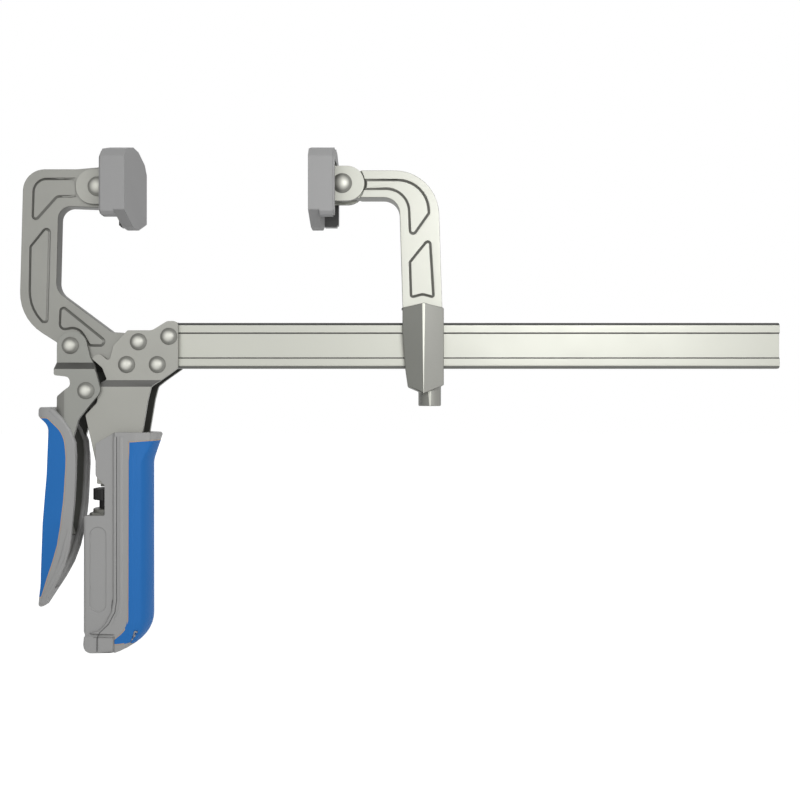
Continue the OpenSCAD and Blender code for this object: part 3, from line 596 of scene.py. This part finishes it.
        # The slanted walls take finish number 1, the painted shade of the recess
        for wall in ring:
            wall.material_index = 1
        bmesh.ops.remove_doubles(made, verts=made.verts, dist=level)
        made.normal_update()
        return made

    def dressed(self, node: str, finish: Finish) -> None:
        """Gives a node of the model its finish and keeps its mesh.

        Args:
            node: Name of the node.
            finish: Its finish.
        """
        mesh = frame["nodes"][node].data
        mesh.materials.clear()
        mesh.materials.append(self.finishes.get(finish))
        log.info("%s: dressed", node)

    def rivets(self, node: str, places: Sequence[tuple[float, float]], head: float, height: float,
               face: float, shank: float) -> bpy.types.Object:
        """Replaces a rivet node by domed rivets.

        Args:
            node: Name of the node.
            places: X and Z of each rivet.
            head: Radius of a head.
            height: Height of a head.
            face: Distance of the head's foot from the middle plane.
            shank: Radius of the shank.

        Returns:
            The piece.
        """
        made = bmesh.new()
        radius = (head * head + height * height) / (2 * height)
        for x, z in places:
            for side in Side:
                dome = bmesh.ops.create_uvsphere(made, u_segments=48, v_segments=32, radius=radius)["verts"]
                cut = bmesh.ops.bisect_plane(
                    made, geom=self._around(dome), plane_co=(0, 0, radius - height), plane_no=(0, 0, 1), clear_inner=True
                )
                rim = [e for e in cut["geom_cut"] if isinstance(e, bmesh.types.BMEdge)]
                bmesh.ops.holes_fill(made, edges=rim, sides=0)
                kept = self._island(rim[0].verts[0])
                bmesh.ops.translate(made, verts=kept, vec=(0, 0, height - radius))
                turn = Matrix.Rotation(-side.value * math.pi / 2, 4, "X")
                bmesh.ops.rotate(made, verts=kept, cent=(0, 0, 0), matrix=turn)
                bmesh.ops.translate(made, verts=kept, vec=(x, side.value * face, z))
            rod = bmesh.ops.create_cone(
                made, cap_ends=True, segments=32, radius1=shank, radius2=shank, depth=2 * face
            )["verts"]
            bmesh.ops.rotate(made, verts=rod, cent=(0, 0, 0), matrix=Matrix.Rotation(math.pi / 2, 4, "X"))
            bmesh.ops.translate(made, verts=rod, vec=(x, 0, z))
        return self.add(made, node + "_domed", Finishes.rivet, self.body_of(node), [node])

    @staticmethod
    def _around(verts: Sequence[bmesh.types.BMVert]) -> list:
        """The vertices with their edges and faces."""
        edges = {e for v in verts for e in v.link_edges}
        faces = {f for v in verts for f in v.link_faces}
        return [*verts, *edges, *faces]

    @staticmethod
    def _island(start: bmesh.types.BMVert) -> list[bmesh.types.BMVert]:
        """Every vertex joined to the first one by edges."""
        seen = {start}
        waiting = [start]
        while waiting:
            for edge in waiting.pop().link_edges:
                for vert in edge.verts:
                    if vert not in seen:
                        seen.add(vert)
                        waiting.append(vert)
        return list(seen)

    def inlay(self, node: str, outward: float, width: float = 0.55 * MM,
              shape: Callable[[bmesh.types.BMesh], None] | None = None) -> bpy.types.Object:
        """Replaces a soft inlay by one with a pinstripe around its rim.

        Args:
            node: Name of the inlay's node.
            outward: 1 where its back looks along +X and -1 where it looks along -X.
            width: Width of the stripe.
            shape: Shapes the copy once the stripe is drawn.

        Returns:
            The piece.
        """
        made = self.merged(node)

        def skin(face: bmesh.types.BMFace) -> bool:
            """Whether the face is part of the outer skin."""
            centre, normal = face.calc_center_median(), face.normal
            return (centre.y * normal.y > 0 and abs(normal.y) > 0.2) or normal.x * outward > 0.2

        outer = [f for f in made.faces if skin(f)]
        stripe = bmesh.ops.inset_region(made, faces=outer, thickness=width, depth=0.0, use_even_offset=True,
                                        use_boundary=True)["faces"]
        for face in stripe:
            face.material_index = 1
        if shape:
            shape(made)
        return self.add(made, node + "_striped", (Finishes.soft, Finishes.stripe), self.body_of(node), [node])

    def bead(self, name: str, path: Sequence[tuple[float, float, float]], radius: float,
             finish: Finish, body: str) -> bpy.types.Object:
        """A raised round bead along a path on both side faces.

        Args:
            name: Name of the piece.
            path: X, distance from the middle plane and Z of the path's points.
            radius: Radius of the bead.
            finish: Its finish.
            body: The body that it rides on.

        Returns:
            The piece.
        """
        made = bmesh.new()
        for side in Side:
            points = [Vector((x, side.value * y, z)) for x, y, z in path]
            ring = bmesh.ops.create_circle(made, cap_ends=True, segments=12, radius=radius)["verts"]
            first = ring[0]
            heading = Vector((0, 0, 1)).rotation_difference(points[1] - points[0]).to_matrix()
            bmesh.ops.rotate(made, verts=ring, cent=(0, 0, 0), matrix=heading)
            bmesh.ops.translate(made, verts=ring, vec=points[0])
            loop = list({e for v in ring for e in v.link_edges})
            for i in range(1, len(points)):
                new = bmesh.ops.extrude_edge_only(made, edges=loop)["geom"]
                ring = [g for g in new if isinstance(g, bmesh.types.BMVert)]
                fresh = set(ring)
                loop = [g for g in new if isinstance(g, bmesh.types.BMEdge) and fresh.issuperset(g.verts)]
                bmesh.ops.translate(made, verts=ring, vec=points[i] - points[i - 1])
                if i + 1 < len(points):
                    turn = (points[i] - points[i - 1]).rotation_difference(points[i + 1] - points[i]).to_matrix()
                    bmesh.ops.rotate(made, verts=ring, cent=points[i], matrix=turn)
            bmesh.ops.holes_fill(made, edges=loop, sides=0)
            bmesh.ops.recalc_face_normals(made, faces=list({f for v in self._island(first) for f in v.link_faces}))
        return self.add(made, name, finish, body)

    def sliced(self, made: bmesh.types.BMesh, axis: int, places: Iterable[float]) -> None:
        """Cuts a shape's faces along planes, so that it can be bent there.

        Args:
            made: The shape.
            axis: 0 for planes across X, 1 across Y and 2 across Z.
            places: Where the planes lie.
        """
        normal = Vector([float(axis == i) for i in range(3)])
        for place in places:
            bmesh.ops.bisect_plane(made, geom=[*made.verts, *made.edges, *made.faces],
                                   plane_co=normal * place, plane_no=normal)


def pad_hollow(centre: Vector, normal: Vector, half: float = 14.2 * MM) -> bool:
    """Whether a face lines the hollow in a pad's back.

    Args:
        centre: The face's centre.
        normal: The face's normal.
        half: Half width of the hollow.

    Returns:
        True for the hollow's walls and floor.
    """
    return abs(centre.y) < half and centre.y * normal.y <= 0.0 and abs(normal.z) < 0.5 and (
        abs(normal.y) > 0.5 or BACK_FACES.contains(centre.x)
    )


@dataclass(frozen=True)
class Ranges:
    """Stretches along the bar."""

    spans: Sequence[tuple[float, float]]

    def contains(self, x: float) -> bool:
        """Whether a place lies in one of the stretches."""
        return any(low < x < high for low, high in self.spans)


BACK_FACES = Ranges(((-7 * MM, -6 * MM), (111.5 * MM, 112.5 * MM)))


@dataclass
class FrameAssembly(SubAssembly):
    """Bar, side plates and their rivets."""

    rivet_places: Sequence[tuple[float, float]] = ((3.4 * MM, -91.5 * MM), (21.4 * MM, -88.3 * MM), (14.6 * MM, -105 * MM))
    arm_pivot: tuple[float, float] = (-3.6 * MM, -105 * MM)
    head: float = 5.1 * MM
    head_height: float = 2.5 * MM
    face: float = 6.2 * MM
    bend_low: float = -118.6 * MM
    bend_high: float = -114 * MM
    bar_z: float = -93.6 * MM
    bar_edge: float = 10.5 * MM

    def build(self) -> None:
        """Makes the pieces."""
        # The bend's slope and the inner faces take painted shade
        finishes = (Finishes.plate, Finishes.bend, Finishes.inner)

        def bend(centre: Vector, normal: Vector) -> bool:
            """Whether a face is the slope of the bend."""
            return 0.3 < abs(normal.y) < 0.97 and self.bend_low < centre.z < self.bend_high

        for side, node in ((Side.FRONT, "frame_plate_front"), (Side.BACK, "frame_plate_back")):
            def inside(centre: Vector, normal: Vector, out: float = side.value) -> bool:
                """Whether a face looks at the other plate."""
                return normal.y * out < -0.5

            self.refined(node, finishes, 0.25 * MM, marks=(bend, inside))
        self._bar()
        self.rivets("frame_rivets", self.rivet_places, self.head, self.head_height, self.face, 2.5 * MM)
        self.rivets("arm_pivot_rivet", [self.arm_pivot], self.head, self.head_height, self.face, 3 * MM)
        self.dressed("frame_spacer", Finishes.dark)


    def _bar(self) -> None:
        """The bar, with painted shade on its groove walls and long edges."""
        low, high = self.bar_z - self.bar_edge, self.bar_z + self.bar_edge

        def top(centre: Vector, normal: Vector) -> bool:
            """Whether a face rounds the top edge."""
            return centre.z > high and normal.z > 0.35

        def bottom(centre: Vector, normal: Vector) -> bool:
            """Whether a face rounds the lower edge."""
            return centre.z < low and normal.z < -0.3

        def groove(centre: Vector, normal: Vector) -> bool:
            """Whether a face is a wall of the channel."""
            return low < centre.z < high and abs(normal.z) > 0.3

        self.refined("bar", (Finishes.bar, Finishes.bar_top_shade, Finishes.bar_low_shade, Finishes.bar_groove_shade), 0.25 * MM,
                     sharp=math.radians(50), marks=(top, bottom, groove))


@dataclass
class HandleAssembly(SubAssembly):
    """Handle with its inlay, and the pressure adjuster in its window."""

    right: float = 8.66 * MM
    tip: float = 14.26 * MM
    tip_z: float = -145.3 * MM
    flare_z: float = -162 * MM
    bottom_z: float = -274 * MM
    corner: float = 19.7 * MM
    half: float = 13 * MM
    bulge: float = 1.3 * MM
    round_depth: float = 6 * MM
    round_reach: float = 12.4 * MM
    side_drop: float = 1.8 * MM
    side_reach: float = 6 * MM
    blend: float = 9 * MM
    step_left: float = -10.1 * MM
    step_right: float = -8.1 * MM
    skin_from: float = 10 * MM
    level: float = 0.01 * MM
    # Height of each point of a seam and how far it has moved left there
    panel_seam: Sequence[tuple[float, float]] = tuple((z * MM, left * MM) for z, left in (
        (-243, 0.0), (-250, 1.0), (-257, 4.7), (-261, 9.0), (-263, 15.5),
    ))
    rib_seam: Sequence[tuple[float, float]] = tuple((z * MM, left * MM) for z, left in (
        (-243, 0.0), (-250, 1.0), (-257, 4.7), (-262, 10.0), (-265, 11.4), (-273, 11.5),
    ))
    rib_points: int = 4
    rib_sink: float = 2.2
    stripe_right: float = -2 * MM
    stripe_low: float = -256 * MM
    foot_z: float = -264.5 * MM
    rib_places: Sequence[tuple[str, float, float, float]] = (
        ("narrow", -8.2 * MM, 12.2 * MM, 1.05 * MM), ("wide", -4.7 * MM, 11.1 * MM, 2.3 * MM)
    )
    groove_places: Sequence[tuple[str, float]] = (("left", -7.1 * MM),)
    groove_radius: float = 0.25 * MM
    rib_top: float = -147.5 * MM

    @staticmethod
    def shift(z: float, seam: Sequence[tuple[float, float]]) -> float:
        """How far a seam has moved left at a height.

        Args:
            z: The height.
            seam: The seam's heights and shifts, from the top down.

        Returns:
            The shift.
        """
        if z >= seam[0][0]:
            return 0.0
        for (above, start), (below, end) in zip(seam, seam[1:]):
            if z >= below:
                return start + (above - z) / (above - below) * (end - start)
        return 0.0

    def depth(self, x: float, z: float) -> tuple[float, Vector]:
        """How deep a point lies under the handle's right side, and which way that side looks.

        Args:
            x: The point's X.
            z: The point's Z.

        Returns:
            The depth, and the direction in the plane of the clamp.
        """
        centre = Vector((self.right - self.corner, 0, self.bottom_z + self.corner))
        if x > centre.x and z < centre.z:
            away = Vector((x, 0, z)) - centre
            return self.corner - away.length, away.normalized()
        flare = min(1.0, max(0.0, (z - self.flare_z) / (self.tip_z - self.flare_z)))
        return self.right + flare * (self.tip - self.right) - x, Vector((1, 0, 0))

    def rounded_side(self, made: bmesh.types.BMesh) -> None:
        """Bends a copy of the handle's skin to a round right side, and its seam to the left.

        Args:
            made: The shape.
        """
        slices = (0.2, 0.6, 1.2, 2.0, 3.0, 4.2, 5.6, 7.2, 9.0, 11.0)
        self.sliced(made, 0, [self.right - d * MM for d in slices])
        self.sliced(made, 0, [self.right + d * MM for d in (1.2, 2.6, 4.0)])
        self.sliced(made, 1, [side.value * d * MM for side in Side for d in (0.0, 3.0, 5.5, 7.5, 9.0, 10.3)])
        self.sliced(made, 2, [self.flare_z + d * MM for d in (0.0, 5.0, 10.0)])
        self.sliced(made, 0, [self.right - d * MM for d in (13.5, 16.5, 19.0)])
        self.sliced(made, 2, [self.foot_z, *(z for z, _ in self.panel_seam)])
        self.sliced(made, 2, [self.bottom_z + d * MM for d in (1.5, 3.0, 4.5, 6.0, 7.5, 9.0, 11.5, 14.0, 17.0, 20.0)])
        bmesh.ops.triangulate(made, faces=[f for f in made.faces if len(f.verts) > 4])
        for vert in made.verts:
            x, y, z = vert.co
            if z < self.foot_z + self.level and x < self.step_right and abs(y) > self.skin_from:
                rise = min(1.0, (self.step_right - x) / (self.step_right - self.step_left)) * self.side_drop
                vert.co.y = math.copysign(abs(y) + rise, y)
            elif self.step_left < x < self.step_right and abs(y) > self.skin_from:
                vert.co.x -= self.shift(z, self.panel_seam)
            deep, way = self.depth(x, z)
            if deep > self.blend or (abs(y) < 9.9 * MM and deep > 1.5 * MM):
                continue
            share = (1.0 - max(0.0, deep) / self.blend) * way.x ** 2
            inner = min(1.0, abs(y) / self.round_reach)
            back = self.round_depth * (1.0 - math.sqrt(max(0.0, 1.0 - inner * inner))) - self.bulge
            drop = self.side_drop * way.x ** 2 * max(0.0, 1.0 - max(0.0, deep) / self.side_reach) ** 2
            vert.co -= way * back * share
            if abs(y) > 11 * MM:
                vert.co.y = math.copysign(min(abs(y), self.half - drop), y)
        made.normal_update()
        for face in made.faces:
            centre = face.calc_center_median()
            if face.material_index == 1 and centre.x > self.stripe_right and centre.z < self.stripe_low:
                face.material_index = 0

    def build(self) -> None:
        """Makes the pieces."""
        for node in ("handle_shell_front", "handle_shell_back"):
            shell = self.merged(node)
            self.soften(shell, 0.8 * MM, 3)
            self.rounded_side(shell)
            self.add(shell, node + "_finished", Finishes.shell, self.body_of(node), [node])
        self.inlay("handle_grip_inlay", 1.0, shape=self.rounded_side)
        for name, x, face, radius in self.rib_places:
            path = [(x, face, self.rib_top)] + [(x - left, face, z) for z, left in self.rib_seam[:self.rib_points]]
            last = path[-1]
            path[-1] = (last[0], last[1] - self.rib_sink * radius, last[2])
            self.bead("handle_rib_" + name, path, radius, Finishes.shell, self.body_of("handle_shell_front"))
        # Painted shade: thin dark beads stand for the shade in the handle's grooves
        for name, x in self.groove_places:
            path = [(x, self.half, self.rib_top)] + [(x - left, self.half, z) for z, left in self.rib_seam]
            self.bead("handle_groove_shade_" + name, path, self.groove_radius, Finishes.groove,
                      self.body_of("handle_shell_front"))
        self.refined("adjuster_knob", Finishes.knob, 0.25 * MM)
        self.refined("adjuster_collar", Finishes.collar, 0.3 * MM)
        for node in ("adjuster_screw", "screw_retainer", "pressure_carriage"):
            self.dressed(node, Finishes.dark)


@dataclass
class FixedJaw(SubAssembly):
    """The arm that the lever closes, with its pad."""

    lever_pivot: tuple[float, float] = (-36.9 * MM, -93.7 * MM)
    pad_pivot: tuple[float, float] = (-20.8 * MM, 0.6 * MM)
    fade_x: float = -37.5 * MM
    fade_low: float = -25 * MM
    fade_floor: float = 3.5 * MM
    fade_length: float = 9 * MM

    def build(self) -> None:
        """Makes the pieces."""
        arm = self.pocketed("jaw_arm", 3 * MM, 4 * MM, 1.3 * MM)
        self._fade(arm)
        self.soften(arm, 0.6 * MM, sharp=math.radians(60), clamp=False)
        self.add(arm, "jaw_arm_finished", (Finishes.arm, Finishes.arm_recess_shade), self.body_of("jaw_arm"), ["jaw_arm"])
        self.rivets("lever_pivot_rivet", [self.lever_pivot], 5.1 * MM, 2.5 * MM, 6.3 * MM, 3 * MM)
        self.rivets("fixed_pad_rivet", [self.pad_pivot], 5.9 * MM, 2.5 * MM, 6.3 * MM, 2.5 * MM)
        self.refined("fixed_pad", (Finishes.pad, Finishes.pad_hollow_shade), 0.6 * MM, 3, marks=(pad_hollow,))
        self.refined("fixed_pad_bracket", Finishes.plate, 0.25 * MM)


    def _fade(self, arm: bmesh.types.BMesh) -> None:
        """Lets the upper pocket run out towards the pad's bracket.

        Args:
            arm: The arm's shape.
        """
        inner = {
            v for f in arm.faces if f.material_index == 1 for v in f.verts
            if abs(v.co.y) < self.fade_floor and v.co.x > self.fade_x and v.co.z > self.fade_low
        }
        for face in arm.faces:
            centre = face.calc_center_median()
            if face.material_index == 1 and centre.x > self.fade_x and centre.z > self.fade_low \
                    and abs(face.normal.x) > abs(face.normal.z):
                face.material_index = 0
        for vert in inner:
            vert.co.x -= self.fade_length


@dataclass
class LeverAssembly(SubAssembly):
    """Lever yoke with its grip, and the toggle link."""

    link_pivot: tuple[float, float] = (-26.1 * MM, -120.5 * MM)
    bend_low: float = -108.2 * MM
    bend_high: float = -103.6 * MM
    fold_x: float = -38.9 * MM
    fold_top: float = -116 * MM
    fold_slope: float = 0.4
    cheek: float = 10 * MM
    rim_radius: float = 1.9 * MM
    rim: Sequence[tuple[float, float, float]] = tuple((x * MM, y * MM, z * MM) for x, y, z in (
        (-46.5, 10.2, -132), (-41, 10, -137.5), (-36.5, 9.9, -144), (-33.8, 9.9, -151), (-33.3, 9.9, -158),
        (-33.6, 9.9, -172), (-34.6, 9.7, -188), (-36.6, 9, -204), (-40.6, 7.6, -219), (-46.5, 5.4, -231.5),
        (-52, 3.4, -241), (-55.2, 1.9, -247),
    ))

    def build(self) -> None:
        """Makes the pieces."""
        def bend(centre: Vector, normal: Vector) -> bool:
            """Whether a face is the slope of the bend."""
            return 0.3 < abs(normal.y) < 0.97 and self.bend_low < centre.z < self.bend_high

        def inside(centre: Vector, normal: Vector) -> bool:
            """Whether a face looks at the other cheek."""
            return normal.y * centre.y < 0 and abs(normal.y) > 0.5

        def fold(centre: Vector, normal: Vector) -> bool:
            """Whether a face belongs to the folded edge of a cheek."""
            return abs(normal.y) > 0.5 and normal.x < -0.2 and centre.z < self.bend_low

        yoke = self.merged("lever_yoke")
        self.sliced(yoke, 0, [self.fold_x])
        for vert in yoke.verts:
            if vert.co.x < self.fold_x and vert.co.z < self.fold_top and abs(vert.co.y) > self.cheek:
                vert.co.y -= math.copysign((self.fold_x - vert.co.x) * self.fold_slope, vert.co.y)
        yoke.normal_update()
        # The bend's slope, the inner cheeks and the fold take painted shade
        for number, test in enumerate((bend, inside, fold)):
            self.mark(yoke, number + 1, test)
        self.soften(yoke, 0.25 * MM)
        self.add(yoke, "lever_yoke_finished", (Finishes.yoke, Finishes.bend, Finishes.yoke_inner_shade, Finishes.fold),
                 self.body_of("lever_yoke"), ["lever_yoke"])
        self.refined("lever_grip_shell", Finishes.shell, 0.5 * MM, 3)
        self.bead("lever_grip_rim", self.rim, self.rim_radius, Finishes.shell, self.body_of("lever_grip_shell"))
        self.inlay("lever_grip_inlay", -1.0)
        self.rivets("link_rivet", [self.link_pivot], 5.1 * MM, 2.5 * MM, 10.4 * MM, 3 * MM)
        for node in ("toggle_link", "link_foot_pin"):
            self.dressed(node, Finishes.dark)


@dataclass
class SlidingJaw(SubAssembly):
    """The jaw that slides on the bar, with its pad and brake."""

    pad_pivot: tuple[float, float] = (124.1 * MM, 2.5 * MM)
    head_top: float = -68 * MM
    ridge_turn: float = math.radians(25)
    ridge_width: float = 0.9 * MM
    ridge_low: float = 9.5 * MM

    def build(self) -> None:
        """Makes the pieces."""
        jaw = self.pocketed("sliding_jaw", 4.3 * MM, 5.5 * MM, 1.4 * MM)
        ridges = [
            e for e in jaw.edges if len(e.link_faces) == 2 and all(
                0.5 < abs(f.normal.y) < 0.995 and f.calc_center_median().z < self.head_top for f in e.link_faces
            ) and e.calc_face_angle() > self.ridge_turn
        ]
        bmesh.ops.bevel(jaw, geom=ridges, offset=self.ridge_width, offset_type="OFFSET", segments=1, profile=0.5,
                        affect="EDGES", clamp_overlap=False, material=-1)
        jaw.normal_update()
        # Painted shade on the head's left and right facets, and a painted highlight on its ridge
        self.mark(jaw, 2, lambda centre, normal: self._on_head(centre, normal) and normal.x < 0)
        self.mark(jaw, 3, lambda centre, normal: self._on_head(centre, normal) and normal.x > 0)
        self.mark(jaw, 4, lambda centre, normal: centre.z < self.head_top and abs(normal.y) >= 0.995
                  and abs(centre.y) > self.ridge_low)
        self.soften(jaw, 0.6 * MM, sharp=math.radians(60), clamp=False)
        self.add(jaw, "sliding_jaw_finished",
                 (Finishes.casting, Finishes.cast_recess_shade, Finishes.head_left_shade, Finishes.head_right_shade, Finishes.ridge),
                 self.body_of("sliding_jaw"), ["sliding_jaw"])
        self.rivets("sliding_pad_rivet", [self.pad_pivot], 5.9 * MM, 2.5 * MM, 6.3 * MM, 2.5 * MM)
        self.refined("sliding_pad", (Finishes.pad, Finishes.pad_hollow_shade), 0.6 * MM, 3, marks=(pad_hollow,))
        self.refined("sliding_pad_bracket", Finishes.casting, 0.25 * MM)
        for node in ("brake_plunger", "brake_set_screw"):
            self.dressed(node, Finishes.dark)
        self.dressed("brake_spring", Finishes.spring)


    def _on_head(self, centre: Vector, normal: Vector) -> bool:
        """Whether a face is one of the head's slanted sides."""
        return centre.z < self.head_top and 0.5 < abs(normal.y) < 0.995


@dataclass
class Studio:
    """Camera, lamps, floor and background."""

    camera_place: tuple[float, float, float] = (158.4 * MM, -490 * MM, -126 * MM)
    lens: float = 36.75
    floor_z: float = -0.40
    backdrop: float = 1.0
    ambient: float = 0.25
    floor_glow: float = 0.76
    floor_near: float = 0.5
    floor_far: float = 1.3
    lamps: Sequence[tuple[str, tuple[float, float, float], float, float]] = field(default_factory=lambda: (
        ("key", (0.36, -0.52, 0.08), 0.3, 1.7),
        ("fill", (-0.30, -0.80, 0.20), 0.5, 0.9),
    ))

    def build(self) -> None:
        """Sets everything up."""
        self._camera()
        self._floor()
        self._world()
        target = Vector((0.16, 0.0, -0.12))
        for name, place, size, power in self.lamps:
            lamp = bpy.data.lights.new(name, "AREA")
            lamp.size = size
            lamp.energy = power
            holder = bpy.data.objects.new(name, lamp)
            holder.location = place
            holder.rotation_euler = (target - Vector(place)).to_track_quat("-Z", "Y").to_euler()
            bpy.context.scene.collection.objects.link(holder)

    def _camera(self) -> None:
        """The photograph's view."""
        camera = bpy.data.cameras.new("camera")
        camera.lens = self.lens
        camera.sensor_width = 36.0
        camera.clip_start = 0.01
        holder = bpy.data.objects.new("camera", camera)
        holder.location = self.camera_place
        holder.rotation_euler = (math.pi / 2, 0.0, 0.0)
        bpy.context.scene.collection.objects.link(holder)
        bpy.context.scene.camera = holder

    def _floor(self) -> None:
        """A wide pale floor that takes the shadow."""
        graph = Graph("pale floor")
        surface = graph.node("ShaderNodeBsdfDiffuse", {}, {"Color": (0.9, 0.9, 0.9)})
        away = Value(graph, graph.node("ShaderNodeVectorMath", {"operation": "LENGTH"}, {0: graph.place()}).outputs[1])
        glow = (away.step(self.floor_near, self.floor_far) * (1.0 - self.floor_glow) + self.floor_glow) * self._seen(graph)
        lit = graph.node("ShaderNodeEmission", {}, {"Color": (1.0, 1.0, 1.0), "Strength": glow})
        both = graph.node("ShaderNodeAddShader", {}, {0: surface.outputs[0], 1: lit.outputs[0]})
        graph.node("ShaderNodeOutputMaterial", {}, {"Surface": both.outputs[0]})
        made = bmesh.new()
        bmesh.ops.create_grid(made, x_segments=1, y_segments=1, size=6.0)
        bmesh.ops.translate(made, verts=made.verts, vec=(0.16, 0.0, self.floor_z))
        mesh = bpy.data.meshes.new("floor")
        made.to_mesh(mesh)
        made.free()
        mesh.materials.append(graph.material)
        floor = bpy.data.objects.new("floor", mesh)
        bpy.context.scene.collection.objects.link(floor)

    def _seen(self, graph: Graph) -> Value:
        """1 for rays that show the background itself, in view or in gloss.

        Args:
            graph: The tree to add to.

        Returns:
            The mask.
        """
        path = graph.node("ShaderNodeLightPath")
        shown = Value(graph, path.outputs["Is Camera Ray"]) + Value(graph, path.outputs["Is Glossy Ray"])
        return (shown + Value(graph, path.outputs["Is Transmission Ray"])).held()

    def _world(self) -> None:
        """A plain bright surround."""
        world = bpy.data.worlds.new("surround")
        world.use_nodes = True
        graph = Graph.__new__(Graph)
        graph.tree = world.node_tree
        graph.tree.nodes.clear()
        strength = self._seen(graph) * (self.backdrop - self.ambient) + self.ambient
        made = graph.node("ShaderNodeBackground", {}, {"Color": (1.0, 1.0, 1.0), "Strength": strength})
        graph.node("ShaderNodeOutputWorld", {}, {"Surface": made.outputs[0]})
        bpy.context.scene.world = world


def main() -> None:
    """Builds the classes in order."""
    logging.basicConfig(level=logging.INFO, format="%(message)s")
    bpy.context.scene.view_settings.view_transform = "Standard"
    finishes = Finishes()
    for kind in (FrameAssembly, HandleAssembly, FixedJaw, LeverAssembly, SlidingJaw):
        log.info("building %s", kind.__name__)
        kind(finishes).build()
    Studio().build()


if __name__ == "__main__":
    main()
